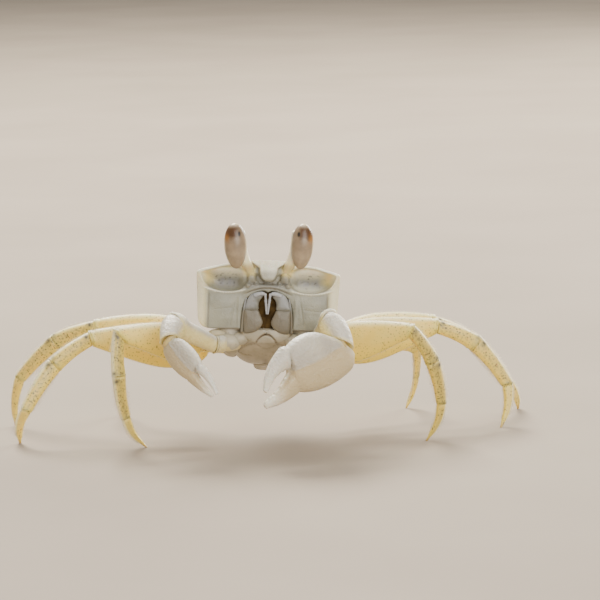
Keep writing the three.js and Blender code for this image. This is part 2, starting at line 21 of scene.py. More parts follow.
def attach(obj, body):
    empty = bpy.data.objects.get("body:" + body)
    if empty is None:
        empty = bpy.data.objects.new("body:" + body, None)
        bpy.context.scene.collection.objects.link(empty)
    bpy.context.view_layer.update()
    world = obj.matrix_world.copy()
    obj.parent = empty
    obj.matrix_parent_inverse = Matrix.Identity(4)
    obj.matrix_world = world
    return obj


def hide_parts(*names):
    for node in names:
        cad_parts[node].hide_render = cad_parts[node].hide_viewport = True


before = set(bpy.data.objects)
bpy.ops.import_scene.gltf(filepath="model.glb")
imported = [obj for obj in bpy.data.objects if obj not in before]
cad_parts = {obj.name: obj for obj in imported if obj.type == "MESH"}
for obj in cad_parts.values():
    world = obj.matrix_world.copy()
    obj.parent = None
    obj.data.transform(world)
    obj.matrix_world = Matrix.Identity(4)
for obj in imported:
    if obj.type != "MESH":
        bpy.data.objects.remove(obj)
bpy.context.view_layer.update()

LOG = logging.getLogger("ghost_crab")

MM = 0.001
Pair = tuple[float, float]
Triple = tuple[float, float, float]
Colour = Triple
Socket = bpy.types.NodeSocket
Material = bpy.types.Material


class Side(Enum):
    """A side of the crab, with the sign of its x."""

    LEFT = ("l", 1)
    RIGHT = ("r", -1)

    @property
    def letter(self) -> str:
        """The letter that the side's nodes carry."""
        return self.value[0]

    @property
    def sign(self) -> int:
        """The sign of x on this side."""
        return self.value[1]


class Paint(Enum):
    """The point attributes that the finishes read, each from 0 to 1."""

    # The rim paint is pale edges: partly the shell's own pale margins, partly painted highlight
    # where edges catch the back light.
    RIM = "rim"
    # The seam paint is the dark of sutures and outlines, and also painted shade under the front
    # lobe and where the mouth plates and palps meet the face.
    SEAM = "seam"
    TONE = "tone"
    BLOT = "blot"
    # The horn paint is the brown of the toes' horny tips, and also painted shade in the mouth's
    # recess.
    HORN = "horn_and_shade"
    GOLD = "gold"
    BARE = "bare"


# ---- numbers ----


def mix(low: float, high: float, t: float) -> float:
    """The value a share t of the way from low to high."""
    return low + (high - low) * t


def smooth(x: float, low: float, high: float) -> float:
    """A soft step of x, from 0 at low to 1 at high.

    Args:
        x: The value to place between the two edges.
        low: Where the step starts.
        high: Where the step is complete. It may lie below low.

    Returns:
        A number from 0 to 1.
    """
    t = min(1.0, max(0.0, (x - low) / (high - low)))
    return t * t * (3 - 2 * t)


def arch(t: float) -> float:
    """A half wave that is 0 at both ends and 1 in the middle."""
    return math.sin(math.pi * min(1.0, max(0.0, t)))


def hump(x: float, centre: float, width: float) -> float:
    """A rounded bump of height 1 about centre."""
    return math.exp(-((x - centre) / width) ** 2)


def signed_power(value: float, power: float) -> float:
    """The power of a number's size, with the number's sign."""
    return math.copysign(abs(value) ** power, value)


def spread(count: int, low: float = 0.0, high: float = 1.0) -> list[float]:
    """Evenly spaced numbers from low to high, both included."""
    return [mix(low, high, i / (count - 1)) for i in range(count)]


def ripple(point: Vector, size: float, seed: float = 0.0) -> float:
    """Smooth noise of about -1 to 1, with features of the given size."""
    return noise.noise(point / size + Vector((seed, seed * 1.7, -seed)))


def curve(knots: Sequence[Vector], t: float) -> Vector:
    """A point of the smooth curve through four knots, a share t on from the second to the third."""
    a, b, c, d = knots
    return 0.5 * (2 * b + (c - a) * t + (2 * a - 5 * b + 4 * c - d) * t ** 2
                  + (3 * b - a - 3 * c + d) * t ** 3)


# ---- mesh work ----


@dataclass(frozen=True)
class Cut:
    """One ring of a loft: its place along the piece, its size and a push along the piece in mm."""

    t: float
    scale: float = 1.0
    shift: float = 0.0


Place = Callable[[Cut, float], Vector]
Amount = Callable[[BMVert], float]


def edges_among(verts: Iterable[BMVert]) -> list[BMEdge]:
    """Finds the edges that join points to one another.

    Args:
        verts: The points.

    Returns:
        The edges, in a fixed order.
    """
    held = dict.fromkeys(verts)
    return list(dict.fromkeys(edge for vert in held for edge in vert.link_edges
                              if edge.other_vert(vert) in held))


def drawn(mesh: BMesh, rim: Sequence[BMEdge]) -> tuple[list[BMVert], list[BMEdge]]:
    """Extrudes an open edge once.

    Args:
        mesh: The mesh that is added to.
        rim: The edges of its open edge.

    Returns:
        The new points and the new open edge.
    """
    made = bmesh.ops.extrude_edge_only(mesh, edges=rim)["geom"]
    ring = [item for item in made if isinstance(item, BMVert)]
    return ring, edges_among(ring)


def loft(sides: int, cuts: Sequence[Cut], place: Place) -> BMesh:
    """Extrudes one circle from ring to ring and closes both ends.

    Args:
        sides: How many points a ring has.
        cuts: The rings, in order.
        place: Gives the point of a ring at an angle, where 0 is up and a quarter turn is across.

    Returns:
        A closed mesh whose points keep their place along and around in two attributes.
    """
    mesh = bmesh.new()
    along = mesh.verts.layers.float.new("along")
    around = mesh.verts.layers.float.new("around")
    ring = bmesh.ops.create_circle(mesh, segments=sides, radius=1.0)["verts"]
    for vert in ring:
        vert[around] = math.atan2(vert.co.x, vert.co.y)
    rim = edges_among(ring)
    ends = [rim]
    for number, cut in enumerate(cuts):
        if number:
            ring, rim = drawn(mesh, rim)
        for vert in ring:
            vert[along] = cut.t
            vert.co = place(cut, vert[around])
    ends.append(rim)
    for end in ends:
        cap = bmesh.ops.contextual_create(mesh, geom=end)["faces"]
        bmesh.ops.poke(mesh, faces=cap)
    bmesh.ops.recalc_face_normals(mesh, faces=mesh.faces)
    mesh.normal_update()
    return mesh


def emboss(mesh: BMesh, relief: Amount) -> None:
    """Moves each point along its normal.

    Args:
        mesh: The mesh to work on.
        relief: How far a point moves outward, in mm.
    """
    mesh.normal_update()
    moved = [(vert, vert.normal * relief(vert)) for vert in mesh.verts]
    for vert, step in moved:
        vert.co += step


def paint(mesh: BMesh, coats: dict[Paint, Amount]) -> None:
    """Writes paint attributes on every point.

    Args:
        mesh: The mesh to paint.
        coats: Each paint's amount at a point, which is held between 0 and 1.
    """
    for name, amount in coats.items():
        layer = mesh.verts.layers.float.new(name.value)
        for vert in mesh.verts:
            vert[layer] = min(1.0, max(0.0, amount(vert)))


def capped(count: int, *scales: float) -> list[Cut]:
    """Even rings from 0 to 1, drawn in at both ends through the given scales."""
    starts = [Cut(0, scale) for scale in scales]
    return [*starts, *[Cut(t) for t in spread(count)],
            *[Cut(1, scale) for scale in reversed(scales)]]


def ball(centre: Vector, radii: Triple, columns: int = 24, rows: int = 16) -> BMesh:
    """Stretches a sphere about a centre.

    Args:
        centre: Its middle.
        radii: Its three radii.
        columns: Its faces around.
        rows: Its faces from pole to pole.

    Returns:
        The closed mesh.
    """
    mesh = bmesh.new()
    bmesh.ops.create_uvsphere(mesh, u_segments=columns, v_segments=rows, radius=1.0)
    bmesh.ops.scale(mesh, vec=Vector(radii), verts=mesh.verts)
    bmesh.ops.translate(mesh, vec=centre, verts=mesh.verts)
    return mesh


def joined(meshes: Iterable[BMesh]) -> BMesh:
    """Puts several meshes into one.

    Args:
        meshes: The meshes, which are used up.

    Returns:
        One mesh that holds them all.
    """
    whole = bmesh.new()
    for mesh in meshes:
        holder = bpy.data.meshes.new("holder")
        mesh.to_mesh(holder)
        mesh.free()
        whole.from_mesh(holder)
        bpy.data.meshes.remove(holder)
    return whole


# ---- finishes ----


class Graph:
    """A new node material and the few moves that the finishes need."""

    def __init__(self, name: str) -> None:
        """Starts the material with its shader joined to its output.

        Args:
            name: The material's name.
        """
        self.material = bpy.data.materials.new(name)
        self.material.use_nodes = True
        self.tree = self.material.node_tree
        self.tree.nodes.clear()
        self.shader = self.node("ShaderNodeBsdfPrincipled")
        output = self.node("ShaderNodeOutputMaterial")
        self.link(self.shader.outputs["BSDF"], output.inputs["Surface"])

    def node(self, kind: str) -> bpy.types.Node:
        """Adds a node of one kind."""
        return self.tree.nodes.new(kind)

    def link(self, source: Socket, target: Socket) -> None:
        """Joins an output to an input."""
        self.tree.links.new(source, target)

    def attribute(self, name: Paint) -> Socket:
        """Reads a paint attribute.

        Args:
            name: The paint.

        Returns:
            Its amount, from 0 to 1.
        """
        node = self.node("ShaderNodeAttribute")
        node.attribute_type = "GEOMETRY"
        node.attribute_name = name.value
        return node.outputs["Fac"]

    def noise(self, here: Socket, size: float, detail: float = 2.0) -> Socket:
        """Adds a noise pattern.

        Args:
            here: The coordinates.
            size: The size of its features in mm.
            detail: How many finer layers it has.

        Returns:
            A value of about 0 to 1.
        """
        node = self.node("ShaderNodeTexNoise")
        node.inputs["Scale"].default_value = 1 / (size * MM)
        node.inputs["Detail"].default_value = detail
        self.link(here, node.inputs["Vector"])
        return node.outputs["Fac"]

    def cells(self, here: Socket, size: float, feature: str) -> bpy.types.Node:
        """Adds a cell pattern.

        Args:
            here: The coordinates.
            size: The size of a cell in mm.
            feature: What is measured in each cell.

        Returns:
            The pattern's node.
        """
        node = self.node("ShaderNodeTexVoronoi")
        node.feature = feature
        node.inputs["Scale"].default_value = 1 / (size * MM)
        self.link(here, node.inputs["Vector"])
        return node

    def span(self, value: Socket, low: float, high: float, out_low: float,
             out_high: float) -> Socket:
        """Maps a value from one range to another, and stops at its ends.

        Args:
            value: The value.
            low: The start of its own range.
            high: The end of its own range.
            out_low: The start of the new range.
            out_high: The end of the new range.

        Returns:
            The mapped value.
        """
        node = self.node("ShaderNodeMapRange")
        for name, number in (("From Min", low), ("From Max", high), ("To Min", out_low),
                             ("To Max", out_high)):
            node.inputs[name].default_value = number
        self.link(value, node.inputs["Value"])
        return node.outputs["Result"]

    def ramp(self, value: Socket, low: float, high: float) -> Socket:
        """A value stretched from 0 at low to 1 at high."""
        return self.span(value, low, high, 0.0, 1.0)

    def mathematics(self, operation: str, first: Socket,
                    second: Socket) -> Socket:
        """Adds one arithmetic step.

        Args:
            operation: The kind of step.
            first: The first value.
            second: The second value.

        Returns:
            The step's result.
        """
        node = self.node("ShaderNodeMath")
        node.operation = operation
        self.link(first, node.inputs[0])
        self.link(second, node.inputs[1])
        return node.outputs["Value"]

    def product(self, *values: Socket) -> Socket:
        """Multiplies values together.

        Args:
            values: The values.

        Returns:
            Their product.
        """
        whole = values[0]
        for value in values[1:]:
            whole = self.mathematics("MULTIPLY", whole, value)
        return whole

    def blend(self, share: Socket, first: Socket | Colour,
              second: Socket | Colour) -> Socket:
        """Mixes two colours, each given as a socket or as a fixed colour.

        Args:
            share: The second colour's share.
            first: The first colour.
            second: The second colour.

        Returns:
            The mixed colour.
        """
        node = self.node("ShaderNodeMix")
        node.data_type = "RGBA"
        self.link(share, node.inputs["Factor"])
        for socket, value in ((node.inputs[6], first), (node.inputs[7], second)):
            if isinstance(value, tuple):
                socket.default_value = (*value, 1.0)
            else:
                self.link(value, socket)
        return node.outputs[2]

    def bump(self, height: Socket, depth: float) -> Socket:
        """Turns a height pattern into a bump.

        Args:
            height: The pattern.
            depth: Its depth in mm.

        Returns:
            The bumped normal.
        """
        node = self.node("ShaderNodeBump")
        node.inputs["Strength"].default_value = 1.0
        node.inputs["Distance"].default_value = depth * MM
        self.link(height, node.inputs["Height"])
        return node.outputs["Normal"]


@dataclass(frozen=True)
class ShellFinish:
    """A crab's shell: mottled, a little translucent, finely grained and speckled.

    The colours are linear. pale and deep are the two ends of the mottling, tone is what the tone
    paint turns them into, and gold, rim, seam, blot and horn are the colours of those paints. The
    rim colour is partly painted highlight on lit edges, and the seam and horn colours partly
    painted shade.
    speck is the colour of the fine dots, with their spacing in mm, their share and their strength.
    """

    name: str
    pale: Colour
    deep: Colour
    tone: Colour
    rim: Colour
    gold: Colour = (0.80, 0.62, 0.24)
    seam: Colour = (0.10, 0.055, 0.025)
    blot: Colour = (0.10, 0.085, 0.06)
    horn_and_shade: Colour = (0.22, 0.12, 0.05)
    speck: Colour = (0.20, 0.15, 0.09)
    speck_space: float = 0.62
    speck_share: float = 0.6
    speck_strength: float = 0.7
    mottle_size: float = 3.0
    grain_size: float = 0.22
    grain_depth: float = 0.03
    roughness: float = 0.42
    glow: float = 0.35
    glow_reach: Triple = (1.6, 1.1, 0.6)
    coat: float = 0.15

    def material(self) -> Material:
        """Builds the node material.

        Returns:
            A material that reads Object coordinates and the paint attributes.
        """
        graph = Graph(self.name)
        here = graph.node("ShaderNodeTexCoord").outputs["Object"]
        mottle = graph.noise(here, self.mottle_size, detail=4.0)
        patch = graph.ramp(mottle, 0.36, 0.66)
        colour = graph.blend(patch, self.deep, self.pale)
        colour = graph.blend(graph.attribute(Paint.TONE), colour, self.tone)
        colour = graph.blend(graph.attribute(Paint.GOLD), colour, self.gold)
        colour = graph.blend(graph.attribute(Paint.RIM), colour, self.rim)
        colour = graph.blend(self._specks(graph, here), colour, self.speck)
        for name, shade in ((Paint.BLOT, self.blot), (Paint.HORN, self.horn_and_shade),
                            (Paint.SEAM, self.seam)):
            colour = graph.blend(graph.attribute(name), colour, shade)
        shader = graph.shader
        graph.link(colour, shader.inputs["Base Color"])
        rough = graph.span(graph.noise(here, 0.9, detail=3.0), 0.3, 0.7, self.roughness - 0.08,
                           self.roughness + 0.1)
        graph.link(rough, shader.inputs["Roughness"])
        shader.inputs["Subsurface Weight"].default_value = self.glow
        shader.inputs["Subsurface Radius"].default_value = self.glow_reach
        shader.inputs["Subsurface Scale"].default_value = MM
        shader.inputs["Coat Weight"].default_value = self.coat
        shader.inputs["Coat Roughness"].default_value = 0.3
        grain = graph.cells(here, self.grain_size, "SMOOTH_F1").outputs["Distance"]
        fine = graph.noise(here, self.grain_size * 2.5, detail=3.0)
        graph.link(graph.bump(graph.mathematics("ADD", grain, fine), self.grain_depth),
                   shader.inputs["Normal"])
        return graph.material

    def _specks(self, graph: Graph, here: Socket) -> Socket:
        """Masks the small dots, uneven in size and gathered in clouds.

        Args:
            graph: The material's graph.
            here: The coordinates.

        Returns:
            1 on a speck, 0 off it.
        """
        cells = graph.cells(here, self.speck_space, "F1")
        chance = graph.node("ShaderNodeSeparateColor")
        graph.link(cells.outputs["Color"], chance.inputs["Color"])
        kept = graph.ramp(chance.outputs["Red"], 1 - self.speck_share, 1.02 - self.speck_share)
        radius = graph.span(chance.outputs["Green"], 0.0, 1.0, 0.16, 0.40)
        inside = graph.mathematics("SUBTRACT", radius, cells.outputs["Distance"])
        dot = graph.span(inside, 0.0, 0.08, 0.0, self.speck_strength)
        cloud = graph.ramp(graph.noise(here, 3.4, detail=2.0), 0.30, 0.46)
        open_shell = graph.span(graph.attribute(Paint.BARE), 0.0, 1.0, 1.0, 0.0)
        return graph.product(dot, kept, cloud, open_shell)


@dataclass(frozen=True)
class EyeFinish:
    """The cornea: deep and glossy, rust-brown above, pale mauve-brown below, with one dark spot."""

    name: str = "cornea"
    low: Colour = (0.40, 0.30, 0.19)
    rust: Colour = (0.085, 0.032, 0.005)
    rim: Colour = (0.80, 0.68, 0.42)
    amber: Colour = (0.40, 0.17, 0.025)
    pupil: Colour = (0.01, 0.008, 0.006)

    def material(self) -> Material:
        """Builds the node material.

        Returns:
            A glossy material that reads the cornea's paints.
        """
        graph = Graph(self.name)
        here = graph.node("ShaderNodeTexCoord").outputs["Object"]
        mottle = graph.ramp(graph.noise(here, 1.1, detail=4.0), 0.35, 0.7)
        low = tuple(channel * 0.72 for channel in self.low)
        colour = graph.blend(mottle, low, self.low)
        colour = graph.blend(graph.attribute(Paint.TONE), colour, self.rust)
        colour = graph.blend(graph.attribute(Paint.GOLD), colour, self.amber)
        colour = graph.blend(graph.attribute(Paint.RIM), colour, self.rim)
        colour = graph.blend(graph.attribute(Paint.BLOT), colour, self.pupil)
        shader = graph.shader
        graph.link(colour, shader.inputs["Base Color"])
        shader.inputs["Roughness"].default_value = 0.34
        shader.inputs["Subsurface Weight"].default_value = 0.2
        shader.inputs["Subsurface Radius"].default_value = (1.2, 0.7, 0.35)
        shader.inputs["Subsurface Scale"].default_value = MM
        shader.inputs["Coat Weight"].default_value = 0.15
        shader.inputs["Coat Roughness"].default_value = 0.25
        facets = graph.cells(here, 0.06, "F1").outputs["Distance"]
        graph.link(graph.bump(facets, 0.002), shader.inputs["Normal"])
        return graph.material


@dataclass(frozen=True)
class PlainFinish:
    """A finish of one mottled colour, for hinge skin, the painted shade behind the mouth plates,
    hair and the floor.
    """

    name: str
    colour: Colour
    shade: Colour
    mottle_size: float = 2.0
    roughness: float = 0.5
    glow: float = 0.0
    depth: float = 0.02
    shine: float = 0.5

    def material(self) -> Material:
        """Builds the node material.

        Returns:
            A material with a soft mottling and a fine bump.
        """
        graph = Graph(self.name)
        here = graph.node("ShaderNodeTexCoord").outputs["Object"]
        mottle = graph.noise(here, self.mottle_size, detail=4.0)
        colour = graph.blend(graph.ramp(mottle, 0.35, 0.65), self.shade, self.colour)
        shader = graph.shader
        graph.link(colour, shader.inputs["Base Color"])
        shader.inputs["Roughness"].default_value = self.roughness
        shader.inputs["Specular IOR Level"].default_value = self.shine
        shader.inputs["Subsurface Weight"].default_value = self.glow
        shader.inputs["Subsurface Radius"].default_value = (1.6, 1.0, 0.5)
        shader.inputs["Subsurface Scale"].default_value = MM
        graph.link(graph.bump(mottle, self.depth), shader.inputs["Normal"])
        return graph.material


class Finishes:
    """Every material of the crab, made once."""

    def __init__(self) -> None:
        """Makes the materials."""
        self.face = ShellFinish(
            "carapace_shell", pale=(0.345, 0.33, 0.245), deep=(0.26, 0.252, 0.19),
            tone=(0.22, 0.21, 0.20), rim=(0.90, 0.87, 0.70), gold=(0.80, 0.66, 0.26),
            # The face's horn colour is the near-black of the painted shade in the mouth's recess.
            horn_and_shade=(0.024, 0.014, 0.003), speck=(0.15, 0.13, 0.085), speck_space=0.6,
            speck_share=0.75, speck_strength=0.6, glow=0.15, grain_depth=0.045).material()
        self.under = ShellFinish(
            "under_shell", pale=(0.50, 0.435, 0.31), deep=(0.37, 0.32, 0.215),
            tone=(0.40, 0.35, 0.255), rim=(0.70, 0.65, 0.48), gold=(0.74, 0.60, 0.28),
            speck_share=0.3, speck_strength=0.3, glow=0.15).material()
        self.leg = ShellFinish(
            "leg_shell", pale=(0.88, 0.75, 0.29), deep=(0.84, 0.65, 0.16), tone=(0.33, 0.25, 0.08),
            rim=(0.93, 0.88, 0.62), gold=(0.90, 0.68, 0.10), blot=(0.07, 0.06, 0.05),
            horn_and_shade=(0.38, 0.23, 0.08), speck=(0.05, 0.035, 0.015), speck_space=0.36, speck_share=0.95,
            speck_strength=1.0, glow=0.3, glow_reach=(1.6, 1.2, 0.5)).material()
        self.claw = ShellFinish(
            "claw_shell", pale=(0.57, 0.515, 0.405), deep=(0.48, 0.43, 0.34),
            tone=(0.60, 0.48, 0.27), rim=(0.90, 0.86, 0.74), gold=(0.86, 0.71, 0.26),
            speck_space=0.5, speck_share=0.7, speck_strength=0.12, speck=(0.84, 0.82, 0.76),
            grain_size=0.34, grain_depth=0.13, glow=0.2).material()
        self.mouth = ShellFinish(
            "mouth_plate", pale=(0.22, 0.21, 0.175), deep=(0.155, 0.145, 0.11),
            tone=(0.165, 0.135, 0.085), rim=(0.47, 0.48, 0.50), speck_share=0.2, speck_strength=0.4,
            glow=0.1).material()
        self.stalk = ShellFinish(
            "eyestalk_shell", pale=(0.82, 0.74, 0.46), deep=(0.72, 0.62, 0.34),
            tone=(0.60, 0.52, 0.32), rim=(0.92, 0.88, 0.70), speck_share=0.2, speck_strength=0.3,
            glow=0.35).material()
        self.eye = EyeFinish().material()
        self.hinge = PlainFinish(
            "hinge_skin", (0.66, 0.52, 0.22), (0.46, 0.34, 0.13), glow=0.4).material()
        # A near-black, dull finish: the painted shade behind the mouth plates.
        self.dark = PlainFinish(
            "mouth_shade", (0.095, 0.058, 0.018), (0.035, 0.02, 0.006), mottle_size=1.4,
            roughness=0.8, shine=0.08).material()
        self.hair = PlainFinish(
            "hair", (0.78, 0.66, 0.42), (0.60, 0.47, 0.26), roughness=0.6, glow=0.2).material()


# ---- placing ----


@dataclass(frozen=True)
class Stand:
    """How the crab is set on the floor, in mm and degrees."""

    shift: Triple = (0.57, 3.57, 0.0)
    height: float = 27.3
    pitch: float = -12.0
    roll: float = 3.2

    @property
    def crab(self) -> Matrix:
        """From the standing crab's own frame to the row frame."""
        return Matrix.Translation(self.shift)

    @property
    def body(self) -> Matrix:
        """From the tilted body's frame to the row frame."""
        turn = (Matrix.Rotation(math.radians(self.roll), 4, "Y")
                @ Matrix.Rotation(math.radians(self.pitch), 4, "X"))
        return self.crab @ Matrix.Translation((0, 0, self.height)) @ turn

    def hip(self, side: Side, place: Triple) -> Vector:
        """A joint on the body, mirrored to its side, in the row frame."""
        return self.body @ Vector((side.sign * place[0], place[1], place[2]))

    @property
    def sideways(self) -> Vector:
        """The body's own left, in the row frame."""
        return (self.body.to_3x3() @ Vector((1, 0, 0))).normalized()


STAND = Stand()


def set_down(name: str, mesh: BMesh, place: Matrix, material: Material, slot: str,
             *nodes: str) -> bpy.types.Object:
    """Turns a mesh into a finished piece in its place.

    Args:
        name: The piece's name.
        mesh: The mesh, in mm. It is used up.
        place: From the mesh's frame to the row frame, both in mm.
        material: The piece's finish.
        slot: The material slot of the record that the finish belongs to. It is not used.
        nodes: The solids that this piece stands for.

    Returns:
        The new object, riding on the root body.
    """
    mesh.transform(Matrix.Scale(MM, 4) @ place)
    data = bpy.data.meshes.new(name)
    mesh.to_mesh(data)
    mesh.free()
    data.shade_smooth()
    data.materials.append(material)
    piece = bpy.data.objects.new(name, data)
    bpy.context.scene.collection.objects.link(piece)
    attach(piece, "root")
    if nodes:
        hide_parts(*nodes)
    LOG.info("%s: %d faces", name, len(data.polygons))
    return piece


# ---- carapace ----


@dataclass
class Carapace:
    """The shell box of the body, in the body's frame: x across, y to the back, z up, in mm."""

    finishes: Finishes
    half: float = 12.2
    front: float = -10.0
    back: float = 10.5
    widest: float = -6.0
    roof: float = 1.6
    floor: float = -9.4
    middle: float = -4.0
    face_slope: float = 0.12
    orbit_depth: float = 2.9
    orbit_inner: float = 3.45
    orbit_outer: float = 11.5
    lobe_half: Pair = (3.05, 1.52)
    lobe_tip: float = -1.5
    lobe_rise: float = 0.55
    mouth_half: float = 4.38
    mouth_top: float = -2.86
    columns: int = 200
    rows: int = 118
    rings: int = 84
    tail_rings: int = 16
    knobs: tuple[Triple, ...] = ((2.75, -0.85, 0.78), (1.95, -1.62, 0.42), (3.35, -1.9, 0.5))

    def half_at(self, y: float) -> float:
        """Half the shell's breadth at a place along the body."""
        backward = max(0.0, (y - self.widest) / (self.back - self.widest))
        forward = max(0.0, (self.widest - y) / (self.widest - self.front))
        return self.half * (1 - 0.4 * backward ** 2.6) - 0.2 * forward ** 6

    def roof_at(self, y: float, x: float) -> float:
        """Gives the height of the back's surface.

        Args:
            y: The place along the body.
            x: The place across it.

        Returns:
            The height, in mm.
        """
        along = (y - self.front) / (self.back - self.front)
        reach = x / self.half
        bulge = 0.55 * arch(min(1.0, along / 0.8))
        lobe = self.lobe_rise * smooth(abs(x), self.lobe_half[0] + 0.5, self.lobe_half[0] - 0.4)
        lobe *= smooth(y, self.front + 5, self.front)
        dip = 0.35 * hump(abs(x), 4.1, 0.8) * smooth(y, self.front + 2.5, self.front)
        brow = 0.3 * hump(abs(x), 7.4, 2.2) * smooth(y, self.front + 5, self.front)
        return (self.roof + bulge - 3.4 * smooth(along, 0.72, 1) - 1.4 * reach ** 2 + lobe + brow
                - dip)

    def floor_at(self, y: float, x: float) -> float:
        """Height of the lower edge of the side wall."""
        reach = x / self.half
        tuck = mix(-0.7, 1.8, smooth(y, -8, -2))
        return self.floor + 5 * smooth(y, 2, self.back + 1) + tuck * reach ** 4

    def section(self, y: float, u: float, v: float) -> Vector:
        """Gives a point of the box's cross-section.

        Args:
            y: The place along the body.
            u: The place across, from -1 to 1.
            v: The place up, from -1 to 1.

        Returns:
            The point.
        """
        most = max(abs(u), abs(v))
        share = 1.0
        if most > 0.01:
            power = mix(26.0, 8.0, smooth(y, self.front, self.front + 5)) if v > 0 else 6.5
            share += (((abs(u / most) ** power + abs(v / most) ** power) ** (-1 / power) - 1)
                      * most ** 4)
        across, up = u * share, v * share
        x = across * self.half_at(y)
        edge = self.roof_at(y, x) if up > 0 else self.floor_at(y, x)
        z = mix(self.middle, edge, abs(up))
        return Vector((x * (1 + 0.0045 * (z - self.roof)), y, z))

    def orbit_floor(self, reach: float) -> float:
        """Height of the orbit's lower edge."""
        return -3.25 + 0.05 * (reach - 7.0) ** 2

    def orbit_share(self, x: float, z: float) -> float:
        """Measures how far a face point is from the middle of its orbit.

        Args:
            x: The point's distance from the midline, signed.
            z: Its height.

        Returns:
            The distance, as a share of the way to the orbit's edge.
        """
        reach = abs(x)
        upper = self.roof_at(self.front, x) - 0.34
        lower = self.orbit_floor(reach)
        outer = self.orbit_outer + 0.38 * min(0.3, z)
        inner = self.orbit_inner - 0.5 * smooth(z, -0.4, 0.9)
        up = abs(z - (upper + lower) / 2) / ((upper - lower) / 2)
        across = abs(reach - (outer + inner) / 2) / ((outer - inner) / 2)
        power = mix(3.0, 7.0, smooth(z, -1.6, 0.2) * smooth(reach, 6.0, 9.0))
        return (up ** power + across ** power) ** (1 / power)

    def lobe_mask(self, x: float, z: float) -> float:
        """Masks the front lobe, with a soft edge.

        Args:
            x: The point's distance from the midline, signed.
            z: Its height.

        Returns:
            1 on the lobe, 0 off it.
        """
        wide, narrow = self.lobe_half
        half = mix(narrow, wide, smooth(z, 0.6, 2.0) ** 1.2)
        if z < 0.5:
            drop = (0.5 - z) / (0.5 - self.lobe_tip)
            half = narrow * math.sqrt(max(0.0, 1 - min(1.0, drop) ** 2.2))
        return (smooth(abs(x), half + 0.12, half - 0.2)
                * smooth(z, self.lobe_tip - 0.1, self.lobe_tip + 0.25))

    def mouth_mask(self, x: float, z: float) -> float:
        """Masks the mouth field.

        Args:
            x: The point's distance from the midline, signed.
            z: Its height.

        Returns:
            1 inside it, 0 outside.
        """
        reach = abs(x)
        half = self.mouth_half * (1 - 0.5 * max(0.0, (z + 10.2) / 7.35) ** 4.5)
        top = self.mouth_top - 0.1 * reach ** 2 - 0.28 * hump(reach, 0, 0.5)
        return smooth(reach, half + 0.06, half - 0.1) * smooth(z, top + 0.06, top - 0.1)

    def _from_knobs(self, reach: float, z: float) -> list[Pair]:
        """For each knob beside the front lobe, the way to its middle in radii, and its radius."""
        return [(math.hypot(reach - across, (z - up) * 0.85) / size, size)
                for across, up, size in self.knobs]

    def face_depth(self, x: float, z: float) -> float:
        """Carves the face: orbits, crests, sutures, knobs, lobe and mouth.

        Args:
            x: The point's distance from the midline, signed.
            z: Its height.

        Returns:
            How far the face lies behind its leaning plane, in mm, negative where it stands out.
        """
        reach = abs(x)
        depth = 0.0
        orbit = self.orbit_share(x, z)
        if orbit < 1:
            hollow = self.orbit_depth * (1 - orbit ** 3.4) ** 0.75 * smooth(reach, 3.0, 5.2)
            depth += hollow * mix(1.0, 0.3, smooth(z, -1.2, 0.8))
            depth += 0.9 * (1 - orbit ** 3) * smooth(reach, 5.2, 3.0)
        teeth = 0.7 + 0.3 * math.cos(reach * 14)
        crest = (hump(z, self.orbit_floor(reach) - 0.1, 0.15) * smooth(reach, 3.4, 4.0)
                 * smooth(reach, 11.2, 10.5))
        depth -= 0.27 * teeth * crest
        depth -= 0.16 * hump(orbit, 1.05, 0.04) * smooth(z, -2.2, -1.4)
        corner = max(0.0, (reach - 10.2) / 2.0)
        depth += mix(1.15, 0.1, smooth(z, -2.2, -0.2)) * corner ** 2
        depth -= 0.34 * hump(reach, 7.4, 2.4) * smooth(z, -3.4, -5.2) * smooth(z, -9.7, -7.6)
        depth += 0.14 * hump(reach, 9.95, 0.14) * smooth(z, -3.4, -4.0)
        depth += (0.10 * hump(reach + 0.18 * (z + 6), 5.75, 0.13) * smooth(z, -4.4, -5.2)
                  * smooth(z, -9.2, -8.2))
        depth += (0.045 * hump(z + 0.12 * reach, -5.2, 0.14) * smooth(reach, 5.8, 6.2)
                  * smooth(reach, 9.4, 8.8))
        middle = smooth(reach, 4.4, 3.4)
        under_lobe = smooth(z, 0.1, -0.5) * smooth(z, -2.05, -1.6) * middle
        depth += 0.85 * under_lobe + 0.3 * smooth(z, 1.2, 0.8) * smooth(z, -0.5, 0.1) * middle
        for away, size in self._from_knobs(reach, z):
            depth -= 1.05 * size * math.sqrt(max(0.0, 1 - away ** 2))
        depth -= 0.3 * hump(z, -2.2 - 0.06 * reach ** 2, 0.36) * middle
        depth += 0.13 * hump(z, -2.5 - 0.07 * reach ** 2, 0.1) * middle
        lobe = self.lobe_mask(x, z)
        profile = -0.72 - 0.32 * hump(x, 0, 1.5) + 0.5 * smooth(z, -0.9, self.lobe_tip)
        depth = mix(depth, profile, lobe)
        depth -= 0.09 * lobe * hump(reach, 1.35, 0.22) * smooth(z, -1.0, -0.2)
        mouth = self.mouth_mask(x, z)
        depth = mix(depth, mix(0.4, 1.8, smooth(reach, 3.2, 1.7)), mouth)
        depth -= 0.14 * hump(reach, 4.75, 0.3) * (1 - mouth) * smooth(z, -3.6, -5.0)
        return depth

    def build(self) -> None:
        """Builds the shell from one grid whose edge is drawn back to the rear."""
        mesh = bmesh.new()
        across = mesh.verts.layers.float.new("across")
        up = mesh.verts.layers.float.new("up")
        run = mesh.verts.layers.float.new("run")
        bmesh.ops.create_grid(mesh, x_segments=self.columns, y_segments=self.rows, size=1.0)
        for vert in mesh.verts:
            u, v = vert.co.x, vert.co.y
            vert[across], vert[up], vert[run] = u, v, 0.0
            vert.co = self._face_point(u, v)
        rim = [edge for edge in mesh.edges if edge.is_boundary]

        def column(vert: BMVert) -> Pair:
            """The mark by which a point keeps to its column as it is drawn back."""
            return round(vert[across], 5), round(vert[up], 5)

